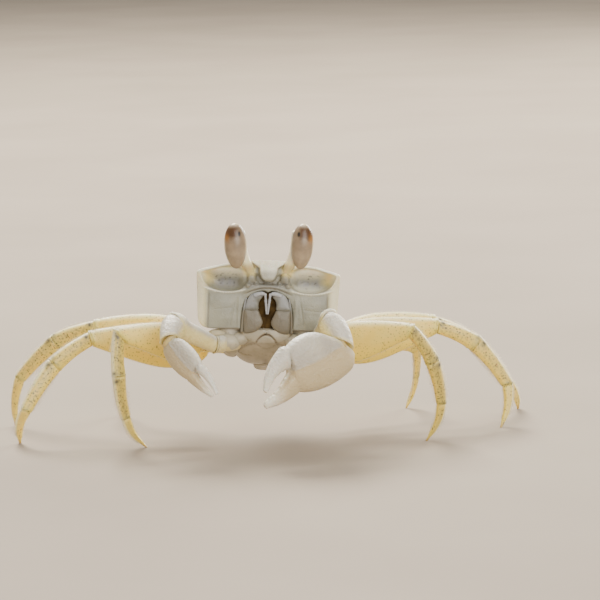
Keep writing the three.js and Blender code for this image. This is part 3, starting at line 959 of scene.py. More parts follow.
        start = {column(vert): vert.co.y for edge in rim for vert in edge.verts}
        for number in range(1, self.rings + 1):
            share = (number / self.rings) ** 1.06
            ring, rim = drawn(mesh, rim)
            for vert in ring:
                vert[run] = share
                y = mix(start[column(vert)], self.back, share)
                vert.co = self.section(y, vert[across], vert[up])
        for share in spread(self.tail_rings + 2)[1:-1]:
            ring, rim = drawn(mesh, rim)
            for vert in ring:
                vert[run] = 1 + share
                inward = 1 - share ** 1.2
                vert.co = self.section(self.back, vert[across] * inward, vert[up] * inward)
                vert.co.y += 0.75 * math.sqrt(1 - inward ** 2)
        centre = sum((vert.co for vert in ring), Vector()) / len(ring)
        bmesh.ops.pointmerge(mesh, verts=ring, merge_co=centre)
        bmesh.ops.recalc_face_normals(mesh, faces=mesh.faces)
        emboss(mesh, lambda vert: self._relief(vert.co, vert[run]))
        self._paint(mesh, run)
        set_down("carapace_shell", mesh, STAND.body, self.finishes.face, "carapace", "carapace")

    def _face_point(self, u: float, v: float) -> Vector:
        """A point of the face's grid."""
        point = self.section(self.front, u, v)
        point.y += self.face_slope * (self.roof - point.z) + self.face_depth(point.x, point.z)
        return point

    def _relief(self, co: Vector, run: float) -> float:
        """Forms the grooves and swellings of the back and the beads along its edges.

        Args:
            co: The point.
            run: How far back it is drawn, from 0 on the face.

        Returns:
            How far the point moves outward, in mm.
        """
        x, y, z = co
        back = smooth(run, 0.02, 0.1) * smooth(z, -1.6, -0.3)
        reach = abs(x)
        height = 0.05 * ripple(co, 2.2) + 0.012 * ripple(co, 0.45, 3.0)
        swelling = (0.24 * hump(reach, 6.6, 2.6) * hump(y, 3.2, 3.6)
                    + 0.16 * hump(x, 0, 2.0) * hump(y, -3.2, 2.6))
        granules = 0.05 * max(0.0, ripple(co, 0.42, 5.0)) * smooth(ripple(co, 3.0, 8.0), -0.3, 0.3)
        beads = (0.07 * max(0.0, math.cos(y * 14)) * hump(z, self._shoulder(y), 0.22)
                 * smooth(reach, 9.0, 11.0))
        hem = 0.14 * hump(y, self.back - 0.6, 0.22) - 0.12 * hump(y, self.back - 1.1, 0.2)
        form = -0.24 * self._groove(x, y) + swelling + granules + hem
        return height + back * form + beads * smooth(run, 0.0, 0.03)

    @staticmethod
    def _groove(x: float, y: float) -> float:
        """Masks the grooves that part the back into its fields.

        Args:
            x: The place across.
            y: The place along.

        Returns:
            1 in a groove, 0 between them.
        """
        reach = abs(x)
        long_pair = (hump(reach, 2.5 + 0.12 * (y - 3) ** 2, 0.32) * smooth(y, 0.0, 1.2)
                     * smooth(y, 6.2, 5.2))
        bridge = 0.75 * hump(y, 2.9, 0.35) * smooth(reach, 2.7, 2.2)
        neck_pair = (0.6 * hump(y, -2.4 + 0.22 * reach, 0.5) * smooth(reach, 2.0, 3.2)
                     * smooth(reach, 8.5, 7.0))
        return max(long_pair, bridge, neck_pair)

    def _shoulder(self, y: float) -> float:
        """Height of the edge between the back and the side wall."""
        return self.roof_at(y, self.half_at(y)) - 0.3

    def _paint(self, mesh: BMesh, run: BMLayerItem) -> None:
        """Paints edges, orbits, the mouth's dark field and the sutures. The pale edges are partly
        painted highlight, and the mouth's field, the band under the front lobe and the bar above
        the mouth carry painted shade.

        Args:
            mesh: The shell.
            run: The layer that says how far back a point is drawn.
        """

        def front(vert: BMVert) -> float:
            """1 on the face, 0 on the back and sides."""
            return smooth(vert[run], 0.05, 0.0)

        def rim(vert: BMVert) -> float:
            """Pale crests and edges: partly the shell's own pale margins, partly painted highlight
            on the lit upper edge, the lobe's top, the side columns and the orbits' lit parts.
            """
            x, z = vert.co.x, vert.co.z
            reach = abs(x)
            orbit = self.orbit_share(x, z)
            # Painted highlight: the columns, the top edge, the lobe's upper part and the orbit's
            # upper inside (pit_top, where the brow would shade it) are made paler where the back
            # light catches them.
            column = smooth(reach, 10.0, 11.2) * smooth(z, -11.0, -7.0) * 0.6
            crest = (hump(z, self.orbit_floor(reach) - 0.05, 0.17) * smooth(reach, 3.4, 4.2)
                     * smooth(reach, 11.4, 10.4))
            top = smooth(z, self.roof_at(self.front, x) - 0.5, self.roof_at(self.front, x) - 0.2)
            pit_top = (smooth(z, -1.3, 0.6) * smooth(orbit, 1.0, 0.8) * 0.92
                       * smooth(reach, 11.0, 8.0))
            lobe = self.lobe_mask(x, z) * mix(0.25, 0.95, smooth(z, -0.2, 0.8))
            low_pit = (0.7 if x > 0 else 0.1) * smooth(z, -1.4, -2.6) * smooth(orbit, 1.0, 0.8)
            on_face = (max(0.85 * crest, top, pit_top, lobe, low_pit)
                       * (1 - self.mouth_mask(x, z)) * front(vert))
            return max(column * mix(0.75, 1, front(vert)), on_face)

        def gold(vert: BMVert) -> float:
            """Yellow at the orbits' ends, the side columns and the back's edges."""
            x, y, z = vert.co
            reach = abs(x)
            orbit = self.orbit_share(x, z)
            inside = smooth(orbit, 1.05, 0.9)
            outer = smooth(reach, 8.0, 10.4) * smooth(z, -2.6, -0.8) * inside
            inner = (smooth(reach, 5.4, 3.8) * smooth(z, -0.9, 0.1) * smooth(z, 1.8, 0.8)
                     * smooth(reach, 1.9, 2.6))
            upper = 0.5 * smooth(z, -0.9, 0.4) * inside
            column = 0.75 * smooth(reach, 9.8, 11.0)
            edge = 0.5 * (1 - front(vert)) * smooth(reach / self.half_at(y), 0.72, 0.95)
            return max(front(vert) * max(outer, inner, upper), column, edge)

        def tone(vert: BMVert) -> float:
            """Grey in the orbits and in clouds over the back, and painted shade on the bar above
            the mouth, under the front lobe.
            """
            x, y, z = vert.co
            orbit = self.orbit_share(x, z)
            pit = smooth(orbit, 0.95, 0.45) * smooth(z, 0.6, -1.0) * smooth(abs(x), 3.6, 5.0)
            streak = smooth(ripple(Vector((x * 2.4, y, z * 0.5)), 0.8, 7.0), -0.35, 0.5)
            upper = smooth(z, -2.5, 0.2) * smooth(abs(x), 11.2, 7.0)
            cloud = ripple(vert.co, 2.6, 3.0) + 0.5 * ripple(vert.co, 0.9, 4.0)
            clouds = smooth(cloud, -0.25, 0.55)
            # brow: painted shade on the raised bar above the mouth, under the front lobe.
            brow = 0.55 * hump(z, -2.0, 0.6) * smooth(abs(x), 3.9, 3.0)
            return max(front(vert) * max(brow, pit * mix(0.5, 1.0, streak)),
                       (1 - front(vert)) * upper * mix(0.12, 0.62, clouds))

        def seam(vert: BMVert) -> float:
            """Dark sutures, pits and outlines, and painted shade under the front lobe."""
            x, y, z = vert.co
            reach = abs(x)
            mouth = self.mouth_mask(x, z)
            edge = 4 * mouth * (1 - mouth)
            arc = 0.65 * hump(z, -2.5 - 0.07 * reach ** 2, 0.11) * smooth(reach, 3.8, 3.2)
            cheek_line = (hump(z, -9.25 - 0.02 * reach, 0.12) * smooth(reach, 4.3, 4.8)
                          * smooth(reach, 9.6, 8.8) * 0.6)
            dots = hump(math.hypot(reach - 0.75, z + 1.66), 0, 0.2) * 0.9
            hinge = hump(math.hypot(reach - 2.5, (z - 1.05) * 0.8), 0, 0.2) * 0.8
            lobe = self.lobe_mask(x, z)
            outline = 2.6 * lobe * (1 - lobe) * smooth(z, 1.3, 0.6)
            # under: painted shade under the front lobe.
            under = (smooth(z, 0.0, -0.6) * smooth(z, -1.95, -1.6) * smooth(reach, 3.6, 2.6) * 0.2
                     * (1 - lobe))
            knobs = max(0.28 * hump(away, 1.05, 0.16) for away, size in self._from_knobs(reach, z))
            side_line = 0.35 * hump(reach, 9.95, 0.12) * smooth(z, -3.4, -4.0)
            groove = 0.3 * self._groove(x, y) * smooth(z, -2.0, -0.4)
            if front(vert) < 0.5:
                return groove * (1 - front(vert))
            lines = (edge * 0.4, arc, cheek_line, dots, hinge, outline * 0.2, under, side_line)
            return front(vert) * max(*lines, knobs)

        def horn_and_shade(vert: BMVert) -> float:
            """Painted shade in the mouth's recess behind the plates, darkest in the deep middle."""
            dark = mix(0.97, 0.5, smooth(abs(vert.co.x), 1.8, 3.0))
            return dark * front(vert) * self.mouth_mask(vert.co.x, vert.co.z)

        def blot(vert: BMVert) -> float:
            """Dark spots in the orbits."""
            orbit = self.orbit_share(vert.co.x, vert.co.z)
            spots = smooth(ripple(vert.co, 0.5, 11.0), 0.28, 0.5) * smooth(orbit, 0.7, 0.3) * 0.85
            return spots * front(vert) * smooth(abs(vert.co.x), 4.2, 5.0)

        paint(mesh, {
            Paint.RIM: rim,
            Paint.GOLD: gold,
            Paint.TONE: tone,
            Paint.SEAM: seam,
            Paint.BLOT: blot,
            Paint.HORN: horn_and_shade,
            Paint.BARE: lambda vert: 0.8 * front(vert),
        })


# ---- underside ----


@dataclass
class Underside:
    """Breastplate, folded abdomen and the inner body between them and the shell."""

    finishes: Finishes
    front: float = -7.3
    back: float = 8.4
    half: float = 5.8
    roof: Pair = (-8.7, -9.75)
    floor: float = -15.0
    nose_floor: float = -11.6
    tail_floor: float = -12.2
    coxa_places: tuple[tuple[Triple, Triple], ...] = (
        ((4.5, -7.6, -11.0), (1.6, 1.05, 1.15)),
        ((6.5, -7.7, -11.6), (2.2, 1.35, 1.5)),
        ((8.3, -7.9, -10.3), (1.5, 0.9, 0.8)),
        ((5.9, -4.0, -11.8), (1.7, 1.65, 1.9)),
        ((6.0, -0.6, -11.9), (1.7, 1.6, 1.95)),
        ((5.9, 2.8, -11.9), (1.7, 1.6, 1.95)),
        ((5.3, 5.9, -11.5), (1.5, 1.45, 1.6)),
    )

    def sternum_floor(self, t: float) -> float:
        """Height of the breastplate's lowest line."""
        front = mix(self.nose_floor, self.floor, math.sin(math.pi / 2 * min(1.0, t / 0.42)))
        return mix(front, self.tail_floor, smooth(t, 0.55, 1.05))

    def sternum_point(self, cut: Cut, angle: float) -> Vector:
        """Gives a point of the breastplate.

        Args:
            cut: The ring.
            angle: The place around it.

        Returns:
            The point.
        """
        t = cut.t
        y = mix(self.front, self.back, t) + cut.shift
        share = mix(0.74, 1, smooth(t, 0, 0.2)) * mix(1, 0.86, smooth(t, 0.7, 1)) * cut.scale
        reach = signed_power(math.sin(angle), 0.7)
        upward = math.cos(angle)
        floor = self.sternum_floor(t) + 1.3 * abs(reach) ** 4
        roof = mix(*self.roof, smooth(t, 0.03, 0.12))
        z = mix((roof + floor) / 2, roof if upward > 0 else floor, abs(upward) ** 0.7 * cut.scale)
        nose = 1.1 * (1 - t) ** 4 * smooth(-z, 8.8, 9.6)
        return Vector((self.half * share * reach, y - nose, z))

    def abdomen_point(self, cut: Cut, angle: float) -> Vector:
        """Gives a point of the abdomen, which turns under the body and narrows to its tip.

        Args:
            cut: The ring.
            angle: The place around it.

        Returns:
            The point.
        """
        t = cut.t
        rounded = math.sqrt(max(0.04, 1 - (max(0.0, t - 0.82) / 0.18) ** 2))
        reach = mix(3.6, 1.5, t) * rounded * signed_power(math.sin(angle), 0.6) * cut.scale
        outward = mix(0.9, 0.45, smooth(t, 0.75, 1.0)) * (0.3 + 0.7 * math.cos(angle) * cut.scale)
        turn = smooth(t, 0.1, 0.55) * math.pi / 2
        run = max(0.0, (t - 0.32) / 0.68)
        y = mix(9.4, -1.2, run) + outward * math.cos(turn) - cut.shift * math.sin(turn)
        under = (self.sternum_floor((y - self.front) / (self.back - self.front))
                 - mix(0.3, -0.15, smooth(t, 0.6, 1.0)))
        z = mix(-5.3, under, smooth(t, -0.15, 0.45)) - outward * math.sin(turn)
        return Vector((reach, y, z))

    def build(self) -> None:
        """Builds the breastplate, the abdomen, the inner body and the coxae."""
        ends = [Cut(0, scale, -0.45 * (1 - scale ** 2)) for scale in spread(26, 0.04, 0.96)]
        cuts = [*ends, *[Cut(t) for t in spread(110)],
                *[Cut(1, e.scale, -e.shift) for e in reversed(ends)]]
        mesh = loft(120, cuts, self.sternum_point)
        emboss(mesh, lambda vert: -0.3 * self._suture(vert.co) + 0.035 * ripple(vert.co, 1.4))
        paint(mesh, {
            Paint.SEAM: lambda vert: 0.9 * self._suture(vert.co),
            Paint.TONE: lambda vert: smooth(vert.co.y, -5.0, -2.0) * 0.5,
        })
        set_down("sternum_plates", mesh, STAND.body, self.finishes.under, "under_shell", "sternum")

        mesh = loft(44, capped(120, 0.1, 0.6, 0.9), self.abdomen_point)
        along = mesh.verts.layers.float["along"]
        emboss(mesh, lambda vert: -0.13 * self._band(vert[along]) + 0.02 * ripple(vert.co, 1.0))
        paint(mesh, {
            Paint.SEAM: lambda vert: 0.6 * self._band(vert[along]),
            Paint.RIM: lambda vert: 0.5 * smooth(abs(vert.co.x), 1.2, 3.4),
        })
        set_down("abdomen_plates", mesh, STAND.body, self.finishes.under, "under_shell", "abdomen")

        mesh = loft(48, capped(30, 0.1, 0.5, 0.8), self._core_point)
        emboss(mesh, lambda vert: 0.05 * ripple(vert.co, 1.3))
        paint(mesh, {Paint.TONE: lambda vert: 0.7})
        set_down("inner_body_skin", mesh, STAND.body, self.finishes.under, "under_shell")
        self._coxae()

    def _core_point(self, cut: Cut, angle: float) -> Vector:
        """Gives a point of the inner body, which fills the step between shell and breastplate.

        Args:
            cut: The ring.
            angle: The place around it.

        Returns:
            The point.
        """
        wide = mix(7.6, 8.8, arch(cut.t * 0.9)) * cut.scale
        upward = math.cos(angle)
        z = -9.8 + upward * (2.2 if upward > 0 else mix(1.4, 3.4, arch(cut.t))) * cut.scale
        x = wide * signed_power(math.sin(angle), 0.8) * mix(0.72, 1, smooth(z, -13, -9.6))
        y = mix(-8.3 + 1.7 * smooth(abs(x), 5.4, 4.5), 8.2, cut.t)
        return Vector((x, y, z))

    def _coxae(self) -> None:
        """The short rounded first joints that sit along the breastplate."""
        lumps = []
        for side in Side:
            for (x, y, z), radii in self.coxa_places:
                lump = ball(Vector((side.sign * x, y, z)), radii, 36, 24)
                emboss(lump, lambda vert: 0.06 * ripple(vert.co, 0.9))
                lumps.append(lump)
        mesh = joined(lumps)
        paint(mesh, {
            Paint.RIM: lambda vert: 0.35 * smooth(ripple(vert.co, 2.0), -0.2, 0.6),
            Paint.GOLD: lambda vert: 0.25 * smooth(abs(vert.co.x), 6.0, 8.5),
        })
        set_down("coxae", mesh, STAND.body, self.finishes.under, "under_shell")

    def _suture(self, co: Vector) -> float:
        """Masks the grooves between the plates of the breast.

        Args:
            co: The point.

        Returns:
            1 in a groove, 0 on the plates.
        """
        x, y, z = co
        reach = abs(x)
        ahead = smooth(y, -4.6, -5.2)
        dome = hump(z, -10.2 - 0.48 * reach ** 1.9, 0.17) * smooth(reach, 2.05, 1.75) * ahead
        lower = 0.4 * hump(z, -12.5 + 0.26 * reach ** 2, 0.12) * smooth(reach, 1.9, 1.6) * ahead
        sides = 0.0
        for number, start in enumerate((-4.6, -1.2, 2.2, 5.4)):
            sides = max(sides,
                        hump(y, start + 0.25 * (reach - 3.4), 0.16) * smooth(reach, 2.2, 2.9))
        wing = (0.45 * hump(z, -11.75 - 0.14 * max(0.0, reach - 1.8) ** 2, 0.14)
                * smooth(reach, 1.7, 1.9) * ahead)
        middle = 0.5 * hump(x, 0, 0.12) * smooth(y, -4.6, -3.4)
        return max(dome, lower, sides, wing, middle)

    def _band(self, t: float) -> float:
        """1 in the grooves between the abdomen's rings."""
        return max(hump(t, edge, 0.012) for edge in (0.14, 0.27, 0.40, 0.53, 0.66, 0.82))


# ---- mouthparts ----


@dataclass
class Mouthparts:
    """The outer jaws that close the mouth, in the frame of the leaning face."""

    finishes: Finishes
    edge_height: float = 0.05
    merus_crown: float = 0.42
    merus: tuple[Pair, ...] = (
        (1.5, -3.3), (2.3, -3.34), (2.95, -3.72), (3.42, -4.5), (3.7, -5.4), (3.82, -6.18),
        (2.7, -6.26), (1.55, -6.18), (1.48, -5.3), (1.3, -4.6), (0.85, -4.0), (0.8, -3.55),
    )
    ischium_crown: float = 0.46
    ischium: tuple[Pair, ...] = (
        (1.6, -6.2), (2.7, -6.24), (3.8, -6.2), (3.93, -7.3), (3.96, -8.4), (3.92, -9.4),
        (3.7, -10.1), (2.7, -10.1), (1.75, -9.75), (0.98, -9.05), (0.7, -8.2), (1.1, -7.1),
    )

    @property
    def face(self) -> Matrix:
        """From the face's frame, with x across, y up and z out, to the row frame."""
        slope = Carapace.face_slope
        lean = Matrix.Rotation(math.pi / 2 + math.atan(slope), 4, "X")
        return (STAND.body @ Matrix.Translation((0, Carapace.front + slope * Carapace.roof, 0))
                @ lean)

    def _plate(self, corners: Sequence[Pair], sign: int, crown: float) -> BMesh:
        """A pillow-shaped plate: rings shrink from the outline to the middle and rise as they go.

        Args:
            corners: Distance from the midline and height of each corner of its outline.
            sign: The side of the midline.
            crown: How much higher the middle is than the edge, in mm.

        Returns:
            The closed plate.
        """
        outline = self._around(corners, sign)
        middle = sum((outline(math.tau * i / 24) for i in range(24)), Vector()) / 24

        def place(cut: Cut, angle: float) -> Vector:
            """A point of the plate."""
            point = middle.lerp(outline(angle), cut.scale)
            return Vector((point.x, point.y, self.edge_height + cut.shift))

        dome = [Cut(1, math.cos(a), crown * math.sin(a) ** 0.6) for a in spread(18, 0, 1.54)]
        skirt = [Cut(0, 0.05, -0.9), Cut(0, 0.94, -0.9), Cut(0, 0.99, -0.85), Cut(0, 1, -0.5),
                 Cut(0.5, 1, -0.1)]
        return loft(72, [*skirt, *dome], place)

    def build(self) -> None:
        """Builds a dark backing that paints the shade in the mouth's recess, and the plates and
        palps of both sides.
        """
        # A near-black, dull backing behind the plates: painted shade in the mouth's recess.
        shade_backing = ball(Vector((0, -6.5, -1.15)), (2.5, 3.55, 0.65), 60, 40)
        emboss(shade_backing, lambda vert: 0.08 * ripple(Vector((vert.co.x * 2.5, vert.co.y, 0)), 1.2))
        set_down("mouth_shade_backing", shade_backing, self.face, self.finishes.dark, "mouth_plate")
        for side in Side:
            mesh = joined([self._plate(self.merus, side.sign, self.merus_crown),
                           self._plate(self.ischium, side.sign, self.ischium_crown),
                           self._exopod(side.sign)])
            bmesh.ops.recalc_face_normals(mesh, faces=mesh.faces)
            emboss(mesh, lambda vert: 0.02 * ripple(vert.co, 0.7) - 0.06 * self._crease(vert.co))
            paint(mesh, {
                Paint.TONE: lambda vert: smooth(vert.co.y, -6.0, -6.6) * 0.8,
                Paint.RIM: lambda vert: self._bloom(vert.co),
                # The plates' sides and the rod's underside get painted shade where they drop
                # towards the face.
                Paint.SEAM: lambda vert: 0.8 * self._edge(vert.co),
                Paint.BLOT: lambda vert: self._scratch(vert.co),
            })
            name = f"maxilliped_{side.letter}"
            set_down(f"{name}_plates", mesh, self.face, self.finishes.mouth, "mouth_plate", name)
            mesh = self._palp(side.sign)
            paint(mesh, {
                Paint.RIM: lambda vert: 0.75,
                # The palp's underside, where it lies on the plate, is darkened as painted shade.
                Paint.SEAM: lambda vert: 0.8 * smooth(vert.co.z, 0.2, -0.1),
            })
            set_down(f"{name}_palp", mesh, self.face, self.finishes.mouth, "mouth_plate", name)

    @staticmethod
    def _around(corners: Sequence[Pair], sign: int) -> Callable[[float], Vector]:
        """A closed smooth outline through a few corners.

        Args:
            corners: Distance from the midline and height of each corner, in order around the plate.
            sign: The side of the midline.

        Returns:
            The outline's point for an angle.
        """
        count = len(corners)

        def outline(angle: float) -> Vector:
            """The outline's point for an angle."""
            place = (angle / math.tau) % 1.0 * count
            number = int(place) % count
            t = place - int(place)
            flat = curve([Vector(corners[(number + k) % count]) for k in (-1, 0, 1, 2)], t)
            return Vector((sign * flat.x, flat.y, 0))

        return outline

    def _exopod(self, sign: int) -> BMesh:
        """Makes the slim rod along the plates' outer edge.

        Args:
            sign: The side of the midline.

        Returns:
            The closed rod.
        """

        def place(cut: Cut, angle: float) -> Vector:
            """A point of the rod."""
            y = mix(-10.1, -4.2, cut.t)
            width = mix(0.27, 0.12, cut.t) * cut.scale
            x = 4.18 - 0.6 * cut.t ** 2.6
            return Vector((sign * x + width * math.sin(angle), y, 0.12 + width * math.cos(angle)))

        return loft(16, capped(20, 0.2), place)

    def _palp(self, sign: int) -> BMesh:
        """Makes the three-jointed palp that arches over the plate and hangs beside the midline.

        Args:
            sign: The side of the midline.

        Returns:
            The closed palp.
        """
        path = [Vector((2.3, -3.75, 0.32)), Vector((1.35, -3.42, 0.48)), Vector((0.48, -3.5, 0.56)),
                Vector((0.35, -4.35, 0.54)), Vector((0.21, -5.6, 0.42)),
                Vector((0.11, -6.85, 0.22))]
        final = len(path) - 1

        def place(cut: Cut, angle: float) -> Vector:
            """A point of the palp."""
            number = min(final - 1, int(cut.t * final))
            knots = [path[max(0, min(final, number + k))] for k in (-1, 0, 1, 2)]
            point = curve(knots, cut.t * final - number)
            slope = (knots[2] - knots[0]).normalized()
            across = Vector((slope.y, -slope.x, 0)).normalized()
            waist = 1 - 0.16 * max(hump(cut.t, 0.4, 0.03), hump(cut.t, 0.7, 0.03))
            width = mix(0.37, 0.12, cut.t ** 1.6) * cut.scale * waist
            point = (point + across * (width * math.sin(angle))
                     + Vector((0, 0, 1.1 * width * math.cos(angle))))
            return Vector((sign * point.x, point.y, point.z))

        return loft(20, [Cut(0, 0.3), *[Cut(t) for t in spread(60)], Cut(1, 0.6), Cut(1, 0.2)],
                    place)

    def _crease(self, co: Vector) -> float:
        """The faint lines along the plates."""
        reach = abs(co.x)
        long_line = (hump(reach, 2.15 + 0.06 * (co.y + 8), 0.07) * smooth(co.y, -6.6, -7.0)
                     * smooth(co.y, -9.6, -8.8))
        return 0.35 * long_line

    def _edge(self, co: Vector) -> float:
        """The plates' faint lines, and painted shade on their sunken edges, where they drop into
        the gaps between the parts.
        """
        return max(self._crease(co), smooth(co.z, 0.02, -0.3))

    def _bloom(self, co: Vector) -> float:
        """The pale bloom on the outer part of the upper plates."""
        return smooth(co.y, -6.3, -5.4) * smooth(abs(co.x), 1.6, 2.6) * 0.35

    def _scratch(self, co: Vector) -> float:
        """A small dark graze on the left lower plate."""
        return 0.8 * hump(co.x, 2.45, 0.28) * hump(co.y - 0.35 * (co.x - 2.45), -7.9, 0.09)


# ---- eyes ----


@dataclass(frozen=True)
class EyePlace:
    """Where one eye stands, in the crab's frame: its middle and lean, and its stalk's two ends."""

    x: float
    z: float
    lean: float
    foot: Pair
    head: Pair


@dataclass
class Eyes:
    """The tall corneas and the stalks that run up their inner sides."""

    finishes: Finishes
    radii: Triple = (1.9, 1.7, 3.85)
    y: float = -11.1
    stalk_y: float = -10.15
    bow: float = 0.45
    stalk_radius: Pair = (0.95, 0.82)
    places: dict[Side, EyePlace] = field(default_factory=lambda: {
        Side.LEFT: EyePlace(5.82, 34.0, 6.2, (2.95, 28.9), (4.95, 36.2)),
        Side.RIGHT: EyePlace(-5.28, 34.35, 1.3, (-2.75, 29.1), (-4.45, 36.5)),
    })

    def build(self) -> None:
        """Builds both eyes."""
        for side in Side:
            self._cornea(side)
            self._stalk(side)

    def _cornea(self, side: Side) -> None:
        """Builds the long egg of a cornea, widest above its middle.

        Args:
            side: The eye's side.
        """
        spot = self.places[side]
        rx, ry, rz = self.radii
        mesh = bmesh.new()
        bmesh.ops.create_uvsphere(mesh, u_segments=112, v_segments=96, radius=1.0)
        for vert in mesh.verts:
            x, y, z = vert.co
            taper = 1 + 0.06 * z - 0.04 * max(0.0, -z) ** 2
            vert.co = Vector((x * rx * taper, y * ry * taper, z * rz))
        inward = -side.sign

        def rust(vert: BMVert) -> float:
            """The rust-brown cap, strongest on the outer side."""
            x, z = vert.co.x, vert.co.z
            outer = smooth(x * inward, 1.1, 0.1)
            cloud = 0.4 * ripple(vert.co, 0.9, 2.0) + 0.15 * ripple(vert.co, 0.3, 5.0)
            upper = smooth(z + 1.3 * cloud, 0.7, 2.0) * smooth(z, 3.7, 2.9)
            low = 0.22 * smooth(z, -1.4, 0.8) + 0.16 * max(0.0, cloud)
            return max(0.97 * upper * mix(0.35, 1.0, outer), low)

        def rim(vert: BMVert) -> float:
            """The pale edge that catches the light."""
            x, y, z = vert.co
            side_edge = smooth(abs(x) / rx, 0.84, 1.0) * 0.75
            top = smooth(z, 3.4, 3.85) * 0.6
            rear = smooth(y, 0.1, 1.2) * 0.6
            return max(side_edge, top, rear) * smooth(z, -3.9, -3.2)

        def amber(vert: BMVert) -> float:
            """The amber glow at the foot of the rust, on the outer side."""
            return 0.75 * hump(vert.co.z, 1.5, 0.7) * smooth(-vert.co.x * inward, 0.7, 1.4)

        def pupil(vert: BMVert) -> float:
            """The one dark spot that seems to look ahead."""
            x, y, z = vert.co
            away = math.hypot((x - inward * 0.72) / 0.24, (z - 2.15) / 0.42)
            return 0.95 * smooth(away, 1.3, 0.6) if y < 0 else 0.0

        paint(mesh, {
            Paint.TONE: rust,
            Paint.RIM: rim,
            Paint.GOLD: amber,
            Paint.BLOT: pupil,
        })
        lean = Matrix.Rotation(math.radians(spot.lean) * side.sign, 4, "Y")
        place = STAND.crab @ Matrix.Translation((spot.x, self.y, spot.z)) @ lean
        set_down(f"cornea_{side.letter}", mesh, place, self.finishes.eye, "eye",
                 f"eye_{side.letter}")

    def _stalk(self, side: Side) -> None:
        """Builds a stalk, thick at its foot, with its tip spread over the cornea's inner back.

        Args:
            side: The eye's side.
        """
        spot = self.places[side]

        def place(cut: Cut, angle: float) -> Vector:
            """A point of the stalk."""
            t = cut.t
            radius = mix(*self.stalk_radius, t) * cut.scale
            flare = 1 - 0.2 * smooth(t, 0.16, 0.0) + 0.1 * hump(t, 0.26, 0.07)
            middle = mix(spot.foot[0], spot.head[0], t) + side.sign * self.bow * arch(t)
            z = mix(spot.foot[1], spot.head[1], t) + cut.shift
            y = self.stalk_y + 1.5 * smooth(t, 0.34, 0.0)
            return Vector((middle + radius * flare * math.sin(angle),
                           y + radius * flare * math.cos(angle), z))

        cap = [Cut(1, math.cos(a), 0.5 * math.sin(a)) for a in spread(8, 0.1, 1.5)]
        foot = [Cut(0, 0.3, -0.9), Cut(0, 0.7, -0.85), Cut(0, 0.9, -0.5), Cut(0, 1.0, -0.2)]
        mesh = loft(40, [*foot, *[Cut(t) for t in spread(60)], *cap], place)
        along = mesh.verts.layers.float["along"]
        emboss(mesh, lambda vert: 0.03 * ripple(vert.co, 0.8) - 0.1 * hump(vert[along], 0.13, 0.02))
        paint(mesh, {
            Paint.RIM: lambda vert: smooth(vert[along], 0.2, 0.8) * 0.9,
            Paint.GOLD: lambda vert: smooth(vert[along], 0.30, 0.08) * 0.6,
        })
        name = f"eyestalk_{side.letter}"
        set_down(f"{name}_shell", mesh, STAND.crab, self.finishes.stalk, "eyestalk", name)


# ---- limbs ----


@dataclass(frozen=True)
class Shape:
    """A limb segment's form: each size at its start, at its end and extra in its middle, in mm.

    keel is 1 for an oval section, higher for one pinched into an edge above and below, and lower
    for a boxy one. bow lifts the segment's middle.
    """

    above: Triple
    below: Triple
    beside: Triple
    bow: float = 0.0
    keel: float = 1.0

    def grown(self, tall: float, wide: float) -> "Shape":
        """The same form, thicker or thinner."""
        return replace(self, above=tuple(tall * n for n in self.above),
                       below=tuple(tall * n for n in self.below),
                       beside=tuple(wide * n for n in self.beside))

    @staticmethod
    def at(taper: Triple, t: float) -> float:
        """The size of a taper at t."""
        start, end, swell = taper
        return mix(start, end, t) + swell * arch(max(0.0, t) ** 0.6)


@dataclass(frozen=True)
class Segment:
    """One placed limb segment: its name, length, form, frame and the planes where it ends."""

    name: str
    length: float
    shape: Shape
    joint: Vector
    turn: Quaternion
    start: Vector
    end: Vector
    bend: float
    last: bool
    first: bool

    @property
    def place(self) -> Matrix:
        """From the segment's frame to the row frame."""
        return Matrix.Translation(self.joint) @ self.turn.to_matrix().to_4x4()

    def point(self, cut: Cut, angle: float) -> Vector:
        """Gives a point of the segment's surface.

        Args:
            cut: The ring.
            angle: The place around it.

        Returns:
            The point, in the segment's frame.
        """
        t = cut.t
        s, c = math.sin(angle), math.cos(angle)
        shape = self.shape
        y = cut.scale * Shape.at(shape.beside, t) * signed_power(s, shape.keel)
        tall = Shape.at(shape.above, t) if c > 0 else Shape.at(shape.below, t)
        z = cut.scale * tall * c + shape.bow * arch(t)
        lead = self.slant(self.start, y, z) * (1 - t) + self.slant(self.end, y, z) * t
        return Vector((self.length * t + lead + cut.shift, y, z))

    @staticmethod
    def slant(normal: Vector, y: float, z: float) -> float:
        """How far the end plane lies along the segment, above or below its middle."""
        return -(normal.y * y + normal.z * z) / normal.x

    def neck(self) -> list[Cut]:
        """The rings of the rounded start, which sits in the cup of the segment before."""
        if self.first:
            return [Cut(0, 0.2, -1.6), Cut(0, 0.7, -1.5), Cut(0, 0.92, -1.2), Cut(0, 1.0, -0.6)]
        deep = 0.75 * math.cos(self.bend / 2) ** 2
        rings = [(0.08, 1.0), (0.3, 0.98), (0.48, 0.85), (0.6, 0.62), (0.72, 0.34), (0.8, 0.1),
                 (0.86, 0.0), (0.92, -0.04), (0.965, -0.1), (0.99, -0.18)]
        return [Cut(0, scale, -deep * back) for scale, back in rings]

    def cup(self) -> list[Cut]:
        """The rings of the end: a lip, and a hollow for the next segment's start."""
        if self.last:
            return [Cut(1, 0.98, 0), Cut(1, 0.8, 0), Cut(1, 0.3, 0)]
        rings = [(1.015, -0.3), (1.025, -0.16), (1.02, -0.06), (0.98, 0.0), (0.93, 0.0),
                 (0.89, -0.1), (0.86, -0.5), (0.3, -0.6)]
        return [Cut(1, scale, shift) for scale, shift in rings]


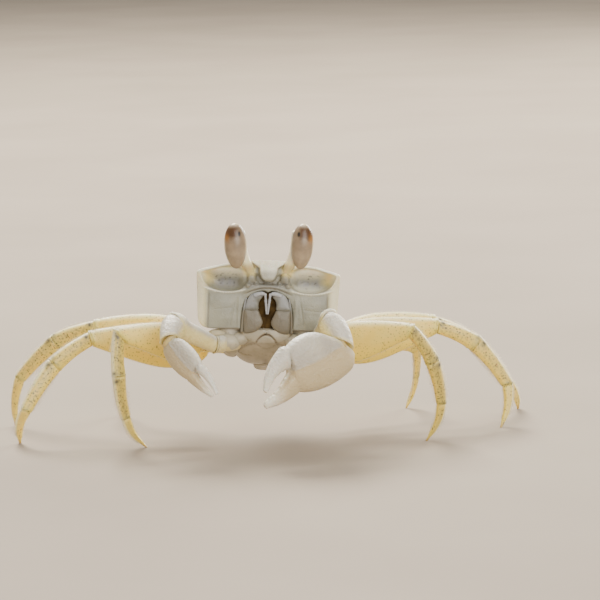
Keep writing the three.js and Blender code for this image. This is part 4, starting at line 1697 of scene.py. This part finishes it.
def direction(side: Side, pose: Pair) -> Vector:
    """Turns a pose into the way that a segment points.

    Args:
        side: The limb's side.
        pose: Its yaw forward and its lift, in degrees.

    Returns:
        The way, of length 1.
    """
    yaw, lift = math.radians(pose[0]), math.radians(pose[1])
    level = math.cos(lift)
    return Vector((side.sign * level * math.cos(yaw), -level * math.sin(yaw), math.sin(lift)))


def upright(along: Vector, twist: float = 0.0) -> Quaternion:
    """Finds the frame whose X is along and whose Z points as far up as it can.

    Args:
        along: The way the segment points.
        twist: A turn about its length, in degrees.

    Returns:
        The frame's turn.
    """
    up = (Vector((0, 0, 1)) - along * along.z).normalized()
    basis = Matrix((along, up.cross(along), up)).transposed()
    return basis.to_quaternion() @ Quaternion((1, 0, 0), math.radians(twist))


def halved(before: Vector, after: Vector, turn: Quaternion) -> Vector:
    """The normal of the plane that halves a joint's angle, in a segment's own frame."""
    return turn.inverted() @ (before + after).normalized()


@dataclass(frozen=True)
class HairRow:
    """A row of hairs: its part of the leg, its place around and along it, and the hairs' size.

    space is the distance between hairs and length is a hair's length, both in mm.
    """

    part: str
    angle: float
    span: Pair
    space: float
    length: float


@dataclass
class Fringe:
    """Short stiff hairs along the edges of a limb, as joined three-sided spikes."""

    seed: int
    mesh: BMesh = field(default_factory=bmesh.new)
    thick: float = 0.035
    lean: float = 0.75
    patch: float = 0.0015

    def __post_init__(self) -> None:
        """Starts the hairs' own random numbers and their map."""
        self.random = random.Random(self.seed)
        self.map = self.mesh.loops.layers.uv.new("OFBake")

    def add(self, segment: Segment, band: int, row: HairRow) -> None:
        """Plants one row of hairs.

        Args:
            segment: The segment that carries them.
            band: The segment's band in the map.
            row: Where the hairs stand and how long they are.
        """
        low, high = row.span
        steps = max(2, int(segment.length * (high - low) / row.space))
        uniform = self.random.uniform
        for number in range(steps):
            t = mix(low, high, (number + self.random.random()) / steps)
            turn = row.angle + uniform(-0.22, 0.22)
            root = segment.point(Cut(t, 0.97), turn)
            out = (segment.point(Cut(t, 1.4), turn) - root).normalized()
            lean = Vector((self.lean * uniform(0.6, 1.3), uniform(-0.25, 0.25),
                           uniform(-0.15, 0.15)))
            size = row.length * uniform(0.6, 1.1) * mix(0.55, 1.0, arch((t - low) / (high - low)))
            spot = (t * 0.9 + 0.05, band * 0.19 + 0.1 + 0.04 * math.sin(turn))
            self._spike(segment.place, root, (out + lean).normalized(), size, spot)

    def _spike(self, place: Matrix, root: Vector, way: Vector, length: float, spot: Pair) -> None:
        """One tapered hair.

        Args:
            place: From the segment's frame to the row frame.
            root: Where the hair starts, in the segment's frame.
            way: The way it points.
            length: Its length in mm.
            spot: The middle of its patch in the map.
        """
        turn = way.to_track_quat("Z", "Y").to_matrix().to_4x4()
        matrix = place @ Matrix.Translation(root + way * length / 2) @ turn
        made = bmesh.ops.create_cone(self.mesh, cap_ends=True, segments=3, radius1=self.thick,
                                     radius2=self.thick * 0.2, depth=length, matrix=matrix)["verts"]
        for face in {face for vert in made for face in vert.link_faces}:
            for number, loop in enumerate(face.loops):
                corner = number * 2.1
                loop[self.map].uv = (spot[0] + self.patch * math.cos(corner),
                                     spot[1] + self.patch * math.sin(corner))


class Limb:
    """What walking legs and claws share: a chain of segments and its hinge skin."""

    REACH = (0.012, 0.985)
    HINGE_FILL = 0.86
    HINGE_LENGTH = 0.75

    def __init__(self, finishes: Finishes, side: Side) -> None:
        """Keeps the materials and the side."""
        self.finishes = finishes
        self.side = side

    def chain(self, names: Sequence[str], lengths: Sequence[float], shapes: Sequence[Shape],
              ways: Sequence[Vector], hip: Vector, bent_from: int,
              twists: Optional[dict[int, float]] = None,
              floor_end: bool = False) -> list[Segment]:
        """Places the segments one after another.

        Args:
            names: The segments' node names.
            lengths: Their lengths in mm.
            shapes: Their forms.
            ways: The way each one points.
            hip: Where the first one starts.
            bent_from: The first segment that keeps the frame of the one before and only bends.
            twists: Extra turns about a segment's own length, by its number.
            floor_end: Whether the last segment is cut level, at the floor.

        Returns:
            The placed segments.
        """
        twists = twists or {}
        outward = STAND.sideways * self.side.sign
        joint = hip.copy()
        made = []
        turn = upright(ways[0])
        for number, way in enumerate(ways):
            before = ways[number - 1] if number else outward
            after = ways[number + 1] if number + 1 < len(ways) else way
            turn = ((before.rotation_difference(way) @ turn) if number >= bent_from
                    else upright(way, twists.get(number, 0)))
            last = number == len(ways) - 1
            start = turn.inverted() @ outward if not number else halved(before, way, turn)
            end = (turn.inverted() @ Vector((0, 0, -1)) if last and floor_end
                   else halved(way, after, turn))
            bend = before.angle(way) if number else 0.0
            made.append(Segment(names[number], lengths[number], shapes[number], joint.copy(),
                                turn.copy(), start, end, bend, last, first=not number))
            joint += way * lengths[number]
        return made

    def hinges(self, segments: Sequence[Segment], name: str, slot: str) -> None:
        """Fills each joint with a pad of hinge skin.

        Args:
            segments: The limb's segments, in order.
            name: The piece's name.
            slot: Its material slot.
        """
        pads = []
        for before, segment in zip(segments, segments[1:]):
            ends = ((before.shape.above, 1), (before.shape.below, 1),
                    (segment.shape.above, 0), (segment.shape.below, 0))
            tall = self.HINGE_FILL * min(Shape.at(taper, t) for taper, t in ends)
            wide = (self.HINGE_FILL
                    * min(Shape.at(before.shape.beside, 1), Shape.at(segment.shape.beside, 0)))
            pad = ball(Vector((0, 0, 0)), (min(tall, self.HINGE_LENGTH), wide, tall))
            pad.transform(segment.place)
            pads.append(pad)
        set_down(name, joined(pads), Matrix.Identity(4), self.finishes.hinge, slot)


@dataclass(frozen=True)
class LegKind:
    """One pair of walking legs: where it leaves the body and how long its segments are."""

    hip: Triple
    lengths: tuple[float, ...]
    girth: float


class WalkingLeg(Limb):
    """One walking leg, from its base to its toe."""

    SEGMENTS = ("base", "merus", "carpus", "propodus", "dactyl")
    ROWS = (14, 96, 44, 48, 44)
    HAIRS = (
        HairRow("merus", 0.0, (0.05, 0.97), 0.12, 0.55),
        HairRow("merus", math.pi, (0.1, 0.95), 0.2, 0.5),
        HairRow("carpus", 0.0, (0.06, 0.96), 0.10, 0.6),
        HairRow("propodus", 0.0, (0.05, 0.96), 0.09, 0.7),
        HairRow("propodus", math.pi, (0.05, 0.96), 0.09, 0.8),
        HairRow("dactyl", 0.0, (0.05, 0.8), 0.08, 0.6),
        HairRow("dactyl", math.pi, (0.05, 0.8), 0.08, 0.6),
    )
    BOWED, MERUS_BOW = 2, 0.5
    KINDS = (
        LegKind((6.1, -3.9, -11.6), (5.0, 15.0, 6.6, 8.0, 7.2), 0.88),
        LegKind((6.2, -0.5, -11.7), (5.2, 18.6, 7.6, 9.2, 7.6), 1.0),
        LegKind((6.1, 2.9, -11.7), (5.3, 19.0, 8.0, 9.8, 8.7), 1.0),
        LegKind((5.7, 6.1, -11.4), (5.0, 12.5, 5.6, 7.2, 6.9), 0.7),
    )
    SHAPES = (
        Shape((1.85, 1.5, 0), (1.7, 1.5, 0), (1.45, 1.1, 0)),
        Shape((1.3, 1.45, 1.9), (1.3, 1.25, 3.2), (1.0, 0.95, 0.2), keel=1.12),
        Shape((1.2, 1.45, 0), (1.1, 1.45, 0), (0.8, 0.8, 0.15), 0.3, keel=0.95),
        Shape((1.4, 1.0, 0), (1.4, 1.0, 0), (0.85, 0.6, 0), 0.25, keel=0.95),
        Shape((0.9, 0.4, 0), (0.9, 0.4, 0), (0.6, 0.4, 0), 0.6, keel=0.9),
    )
    STANCE = {
        Side.LEFT: (
            ((22, 9), (22, 9), (-22, -55), (-57, -70), -158),
            ((-10, 5), (-12, 5), (-7, -25), (-10, -54), 119),
            ((-18, 4), (-17, 6.5), (-18, -28), (-22, -48.5), -65),
            ((-26, -6), (-26, -6), (-27, -6), (-89, -56), -126),
        ),
        Side.RIGHT: (
            ((21, 7), (23, 8), (79, -80), (-108, -71), -138),
            ((-1, 3), (-1, 3), (16, -32), (34, -51), -68),
            ((-13, 6), (-13, 6), (-18, -20), (-19, -44), -35),
            ((-26, -6), (-26, -6), (-27, -6), (-89, -56), -126),
        ),
    }

    def __init__(self, finishes: Finishes, side: Side, index: int) -> None:
        """Places the leg's five segments, the last one down to the floor.

        Args:
            finishes: The crab's materials.
            side: The leg's side.
            index: Its number, from 0 in front.
        """
        super().__init__(finishes, side)
        self.index = index
        self.foremost = index == 0
        kind = self.KINDS[index]
        stance = self.STANCE[side][index]
        hip = STAND.hip(side, kind.hip)
        ways = [direction(side, pose) for pose in stance[:-1]]
        ankle = hip + sum((way * length for way, length in zip(ways, kind.lengths)), Vector())
        ways.append(direction(side,
                              (stance[-1], -math.degrees(math.asin(ankle.z / kind.lengths[-1])))))
        shapes = [shape.grown(kind.girth, math.sqrt(kind.girth)) for shape in self.SHAPES]
        if index == self.BOWED:
            shapes[1] = replace(shapes[1], bow=self.MERUS_BOW)
        names = [f"leg{index + 1}_{side.letter}_{segment}" for segment in self.SEGMENTS]
        self.segments = self.chain(names, kind.lengths, shapes, ways, hip, 2, floor_end=True)

    def build(self) -> None:
        """Builds the segments, their hinge skin and their hairs."""
        for segment, part, rows in zip(self.segments, self.SEGMENTS, self.ROWS):
            body = [Cut(t) for t in spread(rows, *self.REACH)]
            if segment.last:
                body = [Cut(c.t, mix(1.0, 0.5, smooth(c.t, 0.72, 1.0))) for c in body]
                cuts = [*segment.neck(), *body, Cut(1, 0.48), Cut(1, 0.3), Cut(1, 0.1)]
            else:
                cuts = [*segment.neck(), *body, *segment.cup()]
            mesh = loft(40, cuts, segment.point)
            emboss(mesh, self._relief(mesh, part, segment))
            self._paint(mesh, part)
            set_down(f"{segment.name}_shell", mesh, segment.place, self.finishes.leg, "leg_shell",
                     segment.name)
        label = f"leg{self.index + 1}_{self.side.letter}"
        self.hinges(self.segments, f"{label}_hinges", "leg_shell")
        self._fringes(label)

    def _relief(self, mesh: BMesh, part: str, segment: Segment) -> Callable[[BMVert], float]:
        """Forms wrinkles, beaded edges, ridges and the groove before the end.

        Args:
            mesh: The segment's plain shell.
            part: Which part of the leg it is.
            segment: The segment.

        Returns:
            How far a point moves outward, in mm.
        """
        along, around = mesh.verts.layers.float["along"], mesh.verts.layers.float["around"]
        length = segment.length

        def relief(vert: BMVert) -> float:
            """The relief at a point."""
            t, a = vert[along], vert[around]
            inside = smooth(t, 0.0, 0.04) * smooth(t, 1.0, 0.97)
            mm = t * length
            edge = hump(abs(a), 0.0, 0.2) + hump(abs(a), math.pi, 0.2)
            height = 0.018 * ripple(vert.co, 0.8) * inside
            if part == "merus":
                height += 0.05 * edge * max(0.0, math.cos(mm * 11)) * inside
                wrinkle = ripple(Vector((mm * 2.6, a * 1.3, 0)), 1.0, 4.0)
                height += 0.022 * wrinkle * smooth(abs(a), 1.9, 1.0) * inside
                height -= 0.14 * hump(t, 0.945, 0.014) * smooth(abs(a), 1.5, 0.9)
            elif part in ("carpus", "propodus"):
                height += 0.05 * (hump(abs(a), 1.05, 0.16) + hump(abs(a), 2.1, 0.16)) * inside
                height += 0.03 * edge * max(0.0, math.cos(mm * 12)) * inside
            elif part == "dactyl":
                height += 0.045 * math.cos(6 * a) * smooth(t, 0.03, 0.15) * smooth(t, 1.0, 0.8)
            else:
                height -= 0.16 * hump(t, 0.42, 0.03)
            if part != "dactyl":
                height += 0.16 * hump(t, 0.975, 0.02) * hump(abs(a), math.pi / 2, 0.35)
            return height

        return relief

    def _paint(self, mesh: BMesh, part: str) -> None:
        """Paints pale edges, dark joints, the spots on the upper edge and the horny toe.

        Args:
            mesh: The segment's shell.
            part: Which part of the leg it is.
        """
        along, around = mesh.verts.layers.float["along"], mesh.verts.layers.float["around"]
        middle = part in ("carpus", "propodus")

        def rim(vert: BMVert) -> float:
            """Pale along the upper and lower edges: partly the shell's pale edge, partly painted
            highlight along the lit upper edge.
            """
            a = abs(vert[around])
            upper = smooth(a, 0.95, 0.25) * (0.85 if part == "merus" else 0.75)
            return max(upper, 0.35 * smooth(a, 2.8, 3.05))

        def gold(vert: BMVert) -> float:
            """Yellow, deeper below."""
            lower = smooth(abs(vert[around]), 1.3, 2.5)
            return mix(0.4, 0.95, lower) if part == "merus" else mix(0.35, 0.75, lower)

        def tone(vert: BMVert) -> float:
            """Brown flanks, strongest on the front pair."""
            t, a = vert[along], abs(vert[around])
            flank = hump(a, 1.6, 1.0)
            dusk = 0.9 if self.foremost else 0.35
            return (dusk if middle or part == "dactyl" else 0.08) * flank * smooth(t, 0.0, 0.15)

        def blot(vert: BMVert) -> float:
            """Dark marks at the joints and pepper on the flanks."""
            if not middle:
                return 0.0
            t, a = vert[along], abs(vert[around])
            cloud = 0.6 + 0.6 * ripple(vert.co, 0.5, 9.0)
            start = hump(t, 0.09, 0.07) * hump(a, 0.75, 0.6)
            end = hump(t, 0.92, 0.045) * hump(a, 0.6, 0.45) if part == "carpus" else 0.0
            pepper = (smooth(ripple(vert.co, 0.3, 6.0), 0.1, 0.4) * hump(a, 1.5, 0.75)
                      * (0.75 if self.foremost else 0.5))
            return min(1.0, max(1.2 * max(start, end) * cloud, pepper))

        paint(mesh, {
            Paint.RIM: rim,
            Paint.GOLD: gold,
            Paint.TONE: tone,
            Paint.BLOT: blot,
        })
        least = 0.4 if part == "merus" else 0.0
        paint(mesh, {Paint.BARE: lambda vert: max(least,
                                                  0.8 * smooth(abs(vert[around]), 0.6, 0.2))})
        if part == "dactyl":
            paint(mesh, {Paint.HORN: lambda vert: 0.75 * smooth(vert[along], 0.84, 0.99)})

    def _fringes(self, label: str) -> None:
        """Plants hairs along the upper and lower edges."""
        fringe = Fringe(self.index * 10 + (1 if self.side is Side.LEFT else 2))
        for row in self.HAIRS:
            band = self.SEGMENTS.index(row.part)
            fringe.add(self.segments[band], band, row)
        set_down(f"{label}_fringe", fringe.mesh, Matrix.Identity(4), self.finishes.hair,
                 "leg_shell")


@dataclass(frozen=True)
class ClawKind:
    """One claw: the pose and length of its segments and the size of its palm and fingers."""

    lengths: tuple[float, ...]
    poses: tuple[Pair, ...]
    girth: float
    twist: float
    depth: float
    thick: float
    finger_length: float
    droop: float
    hook: float
    heft: float


class Claw(Limb):
    """One claw. The left one is the large one."""

    PARTS = ("base", "arm", "wrist", "palm")
    ROWS = (14, 60, 46)
    HINGE_FILL = 0.97
    HIP = (5.6, -7.3, -11.5)
    KINDS = {
        Side.LEFT: ClawKind(
            (3.4, 8.6, 4.0, 9.8), ((38, 5), (71, 30), (50, -50), (152, -18)), girth=1.0, twist=-4,
            depth=9.8, thick=4.8, finger_length=6.4, droop=22, hook=14, heft=0.32),
        Side.RIGHT: ClawKind(
            (3.4, 8.8, 3.8, 6.8), ((24, -3), (36, 27), (76, -32), (146, -42)), girth=0.85, twist=0,
            depth=5.0, thick=3.0, finger_length=5.2, droop=0, hook=9, heft=0.34),
    }
    SHAPES = (
        Shape((1.5, 1.5, 0), (1.7, 1.7, 0), (1.45, 1.45, 0)),
        Shape((1.4, 2.1, 0), (1.5, 2.0, 0), (1.3, 1.7, 0), keel=0.85),
        Shape((2.0, 2.0, 0.3), (1.7, 1.7, 0.3), (1.6, 1.6, 0.7), 0.4, keel=0.9),
    )

    def __init__(self, finishes: Finishes, side: Side) -> None:
        """Places the claw's segments.

        Args:
            finishes: The crab's materials.
            side: The claw's side.
        """
        super().__init__(finishes, side)
        self.kind = self.KINDS[side]
        kind = self.kind
        girth = math.sqrt(kind.girth)
        palm = Shape((kind.depth * 0.47, 0, 0), (kind.depth * 0.57, 0, 0), (kind.thick / 2, 0, 0))
        shapes = [*[shape.grown(girth, girth) for shape in self.SHAPES], palm]
        names = [f"claw_{side.letter}_{part}" for part in self.PARTS]
        ways = [direction(side, pose) for pose in kind.poses]
        hip = STAND.hip(side, self.HIP)
        self.segments = self.chain(names, kind.lengths, shapes, ways, hip, len(ways),
                                   {3: kind.twist})
        self.palm = self.segments[-1]

    def build(self) -> None:
        """Builds every piece of the claw."""
        for segment, part, rows in zip(self.segments, self.PARTS, self.ROWS):
            cuts = [*segment.neck(), *[Cut(t) for t in spread(rows, *self.REACH)], *segment.cup()]
            self._dress(loft(48, cuts, segment.point), segment, part)
        self._palm()
        self._finger()
        self.hinges(self.segments, f"claw_{self.side.letter}_hinges", "claw_shell")

    def _dress(self, mesh: BMesh, segment: Segment, part: str) -> None:
        """Gives an arm, wrist or base its relief and paint, and sets it down.

        Args:
            mesh: The segment's plain shell.
            segment: The segment.
            part: Which part of the claw it is.
        """
        along, around = mesh.verts.layers.float["along"], mesh.verts.layers.float["around"]

        def relief(vert: BMVert) -> float:
            """Grain, beads, the joint's knobs and folds."""
            t, a = vert[along], vert[around]
            inside = smooth(t, 0.0, 0.05) * smooth(t, 1.0, 0.96)
            edges = hump(abs(a), 0.5, 0.16) + hump(abs(a), 2.5, 0.16)
            beads = (0.09 * edges * max(0.0, math.cos(t * segment.length * 10)) if part != "base"
                     else 0.0)
            condyle = 0.18 * hump(t, 0.97, 0.025) * hump(abs(a), math.pi / 2, 0.3)
            knob = 0.4 * hump(t, 0.88, 0.1) * smooth(abs(a), 1.8, 0.6) if part == "arm" else 0.0
            waist = (-0.35 * smooth(t, 0.3, 0.0) * smooth(abs(a), 2.2, 1.0) if part == "wrist"
                     else 0.0)
            fold = -0.15 * hump(t, 0.35, 0.06) if part == "base" else 0.0
            return (0.04 * ripple(vert.co, 1.1) + beads) * inside + condyle + knob + waist + fold

        emboss(mesh, relief)
        share = {"base": 0.35, "arm": 0.75, "wrist": 0.3}[part]
        yellow = {"base": 0.5, "arm": 0.7, "wrist": 0.85}[part]

        def gold(vert: BMVert) -> float:
            """Yellow below and at the end."""
            return (yellow
                    * max(smooth(abs(vert[around]), 0.8, 1.5), smooth(vert[along], 0.88, 0.97)))

        paint(mesh, {
            Paint.RIM: lambda vert: share * smooth(abs(vert[around]), 1.1, 0.4),
            Paint.TONE: lambda vert: 0.8 * smooth(abs(vert[around]), 1.2, 2.2),
            Paint.GOLD: gold,
        })
        set_down(f"{segment.name}_shell", mesh, segment.place, self.finishes.claw, "claw_shell",
                 segment.name)

    def _palm(self) -> None:
        """The deep oval palm, drawn out below into the fixed finger."""
        kind, palm = self.kind, self.palm
        length = palm.length + kind.finger_length
        knuckle = palm.length / length
        sag = kind.finger_length * math.tan(math.radians(kind.droop))
        depth, thick = kind.depth, kind.thick

        def oval(t: float) -> float:
            """The palm's outline, as a share of its depth."""
            heel = mix(0.78, 1.0, smooth(t / knuckle, -0.02, 0.2))
            return heel * math.sqrt(max(0.0, 1 - 2.6 * (0.9 * min(t / knuckle, 1.04) - 0.5) ** 2))

        def place(cut: Cut, angle: float) -> Vector:
            """A point of the palm or of the fixed finger."""
            t = cut.t
            past = max(0.0, (t - knuckle) / (1 - knuckle))
            onto = smooth(t, knuckle - 0.012, knuckle + 0.03)
            s, c = math.sin(angle), math.cos(angle)
            above = mix(0.47 * depth * oval(t), mix(0.12, 0.05, past) * depth, onto)
            below = mix(0.57 * depth * oval(t), depth * mix(kind.heft, 0.06, past ** 0.9), onto)
            beside = mix(thick / 2 * oval(t), thick * mix(0.31, 0.09, past), onto)
            middle = -onto * depth * 0.13 - sag * past - depth * 0.05 * arch(past)
            y = cut.scale * beside * signed_power(s, 0.92)
            z = cut.scale * (above if c > 0 else below) * signed_power(c, 0.92) + middle
            lead = Segment.slant(palm.start, y, z) * (1 - t) ** 3
            return Vector((length * t + lead + cut.shift, y, z))

        body = [Cut(t) for t in spread(64, self.REACH[0], knuckle - 0.016)]
        step = [Cut(t) for t in spread(16, knuckle - 0.012, knuckle + 0.03)]
        tip = [Cut(t) for t in spread(56, knuckle + 0.034, self.REACH[1])]
        end = [Cut(1, 0.8, -0.12), Cut(1, 0.55, -0.02), Cut(1, 0.25, 0.02)]
        mesh = loft(84, [*palm.neck(), *body, *step, *tip, *end], place)
        along, around = mesh.verts.layers.float["along"], mesh.verts.layers.float["around"]

        def relief(vert: BMVert) -> float:
            """The palm's ridge, beads and grain, and the finger's teeth."""
            t, a = vert[along], vert[around]
            past = max(0.0, (t - knuckle) / (1 - knuckle))
            on_palm = smooth(t, 0.02, 0.06) * smooth(t, knuckle, knuckle - 0.04)
            ridge = hump(vert.co.z, self._ridge(t), 0.035 * depth)
            beads = hump(abs(a), 0.0, 0.07) * max(0.0, math.cos(t * length * 9)) * on_palm
            teeth = hump(abs(a), 0.0, 0.3) * self._tooth(past, kind.finger_length)
            grains = (0.035 * max(0.0, ripple(vert.co, 0.32, 5.0)) * on_palm
                      * smooth(vert.co.z, 0.0, 0.25 * depth))
            return (0.04 * ripple(vert.co, 1.4) + 0.10 * ridge * on_palm + 0.08 * beads
                    + teeth * depth / 9 + grains)

        emboss(mesh, relief)

        def low(vert: BMVert) -> float:
            """The warmer shell below the ridge."""
            edge = self._ridge(vert[along])
            return 0.9 * smooth(vert.co.z, edge + 0.01 * depth, edge - 0.02 * depth)

        def gold(vert: BMVert) -> float:
            """Yellow at the upper end of the wrist's joint."""
            return 0.5 * smooth(vert[along], 0.09, 0.01) * smooth(vert.co.z, -1.0, 0.0)

        def rim(vert: BMVert) -> float:
            """Pale along the upper edge, at the joint and towards the tip; the upper edge is partly
            painted highlight.
            """
            t = vert[along]
            edge = 0.8 * hump(abs(vert[around]), 0, 0.3)
            return max(edge, 0.5 * smooth(t, 0.1, 0.0), 0.7 * smooth(t, 0.7, 0.95))

        spot = Vector((knuckle * length * 0.82, 0, -0.18 * depth))
        freckle = 0.4 if self.side is Side.LEFT else 0.0
        paint(mesh, {
            Paint.TONE: low,
            Paint.GOLD: gold,
            Paint.RIM: rim,
            Paint.BLOT: lambda vert: freckle * hump((vert.co - spot).length, 0, 0.5),
        })
        set_down(f"{palm.name}_shell", mesh, palm.place, self.finishes.claw, "claw_shell",
                 palm.name)

    def _ridge(self, t: float) -> float:
        """Height of the blunt ridge that runs along the palm's face."""
        return self.kind.depth * (0.075 - 0.1 * t)

    def _finger(self) -> None:
        """The movable finger, hinged at the upper end of the palm."""
        kind, palm = self.kind, self.palm
        depth, thick, length = kind.depth, kind.thick, kind.finger_length
        tilt = math.radians(kind.droop + kind.hook)
        face = Vector((math.cos(tilt), 0, math.sin(tilt)))

        def place(cut: Cut, angle: float) -> Vector:
            """A point of the finger."""
            t = cut.t
            s, c = math.sin(angle), math.cos(angle)
            above = depth * mix(0.19, 0.045, t ** 1.2)
            below = depth * mix(0.15, 0.045, t)
            y = cut.scale * thick * mix(0.34, 0.09, t) * s
            z = cut.scale * (above if c > 0 else below) * c + 0.08 * depth * arch(t)
            return Vector((length * t + Segment.slant(face, y, z) * (1 - t) ** 2 + cut.shift, y, z))

        neck = [Cut(0, 0.3, -1.0), Cut(0, 0.6, -0.95), Cut(0, 0.8, -0.6), Cut(0, 0.86, -0.2),
                Cut(0, 0.97, -0.02)]
        end = [Cut(1, 0.8, -0.12), Cut(1, 0.5, -0.02), Cut(1, 0.2, 0.02)]
        mesh = loft(44, [*neck, *[Cut(t) for t in spread(72, *self.REACH)], *end], place)
        along, around = mesh.verts.layers.float["along"], mesh.verts.layers.float["around"]

        def relief(vert: BMVert) -> float:
            """The finger's teeth and its two long grooves."""
            t, a = vert[along], vert[around]
            teeth = hump(abs(abs(a) - math.pi), 0.0, 0.35) * self._tooth(t, length)
            grooves = -0.05 * hump(abs(a), 0.9, 0.14) * smooth(t, 0.1, 0.25) * smooth(t, 0.95, 0.8)
            return 0.02 * ripple(vert.co, 0.8) + teeth * depth / 9 + grooves

        emboss(mesh, relief)
        paint(mesh, {Paint.RIM: lambda vert: mix(0.25, 0.9, vert[along])})
        knuckle = (palm.place @ Matrix.Translation((palm.length + 0.45, 0, 0.2 * depth))
                   @ Matrix.Rotation(tilt, 4, "Y"))
        name = f"claw_{self.side.letter}_finger"
        set_down(f"{name}_shell", mesh, knuckle, self.finishes.claw, "claw_shell", name)

    @staticmethod
    def _tooth(t: float, length: float) -> float:
        """Height of the row of blunt teeth along a finger's cutting edge, in mm."""
        if not 0.1 < t < 0.94:
            return 0.0
        return 0.2 * max(0.0, math.sin(t * length * 5.2)) * mix(1.0, 0.4, t)


# ---- studio ----


@dataclass
class Studio:
    """Floor, soft lights and camera."""

    aim: Triple = (5.3, 0.0, 23.2)
    distance: float = 520.0
    elevation: float = 9.0
    lens: float = 182.16
    roll: float = 1.2
    floor_half: float = 6.0

    def build(self) -> None:
        """Sets up the whole studio."""
        self._floor()
        self._lights()
        self._camera()

    def _floor(self) -> None:
        """A wide pale floor."""
        mesh = bmesh.new()
        bmesh.ops.create_grid(mesh, x_segments=2, y_segments=2, size=self.floor_half)
        data = bpy.data.meshes.new("studio_floor")
        mesh.to_mesh(data)
        mesh.free()
        floor = bpy.data.objects.new("studio_floor", data)
        data.materials.append(PlainFinish("floor_finish", (0.30, 0.245, 0.185),
                                          (0.275, 0.223, 0.167), mottle_size=60,
                                          roughness=0.8, depth=0.0).material())
        bpy.context.scene.collection.objects.link(floor)

    def _light(self, name: str, place: Triple, size: float, power: float, colour: Colour) -> None:
        """Adds one square soft light that faces the crab.

        Args:
            name: Its name.
            place: Where it stands, in metres.
            size: Its width in metres.
            power: Its power in watts.
            colour: Its colour.
        """
        data = bpy.data.lights.new(name, "AREA")
        data.size = size
        data.energy = power
        data.color = colour
        light = bpy.data.objects.new(name, data)
        light.location = Vector(place)
        light.rotation_euler = (Vector((0, 0, 0.02)) - light.location).to_track_quat("-Z",
                                                                                     "Y").to_euler()
        bpy.context.scene.collection.objects.link(light)

    def _lights(self) -> None:
        """Two bright soft lights behind, weaker ones above and in front, and an even sky."""
        self._light("light_behind", (-0.22, 0.62, 0.85), 0.5, 29.0, (1.0, 0.96, 0.88))
        self._light("light_behind_low", (0.55, 0.7, 0.35), 0.5, 14.0, (1.0, 0.95, 0.86))
        self._light("light_above", (0.1, 0.0, 1.2), 0.9, 8.0, (1.0, 0.98, 0.95))
        self._light("light_front", (0.35, -0.95, 0.38), 0.8, 11.0, (1.0, 0.98, 0.95))
        world = bpy.data.worlds.new("studio_sky")
        world.use_nodes = True
        sky = world.node_tree.nodes["Background"]
        sky.inputs["Color"].default_value = (0.98, 0.97, 0.95, 1.0)
        sky.inputs["Strength"].default_value = 0.45
        bpy.context.scene.world = world

    def _camera(self) -> None:
        """A long lens, a little above the crab's level and turned very slightly."""
        lift = math.radians(self.elevation)
        forward = Vector((0, math.cos(lift), -math.sin(lift)))
        right = Vector((1, 0, 0))
        up = right.cross(forward)
        turn = math.radians(self.roll)
        sine, cosine = math.sin(turn), math.cos(turn)
        right, up = right * cosine - up * sine, up * cosine + right * sine
        basis = Matrix((right, up, -forward)).transposed().to_4x4()
        data = bpy.data.cameras.new("camera")
        data.sensor_width = 36
        data.lens = self.lens
        data.clip_start, data.clip_end = 0.01, 50
        camera = bpy.data.objects.new("camera", data)
        spot = Vector(self.aim) + Vector(STAND.shift) - forward * self.distance
        camera.matrix_world = Matrix.Translation(spot * MM) @ basis
        bpy.context.scene.collection.objects.link(camera)
        bpy.context.scene.camera = camera


# ---- the whole crab ----


def main() -> None:
    """Builds the crab and its studio."""
    logging.basicConfig(level=logging.INFO, format="%(name)s %(message)s")
    finishes = Finishes()
    Carapace(finishes).build()
    Underside(finishes).build()
    Mouthparts(finishes).build()
    Eyes(finishes).build()
    for side in Side:
        Claw(finishes, side).build()
        for index in range(len(WalkingLeg.KINDS)):
            WalkingLeg(finishes, side, index).build()
    Studio().build()


if __name__ == "__main__":
    main()
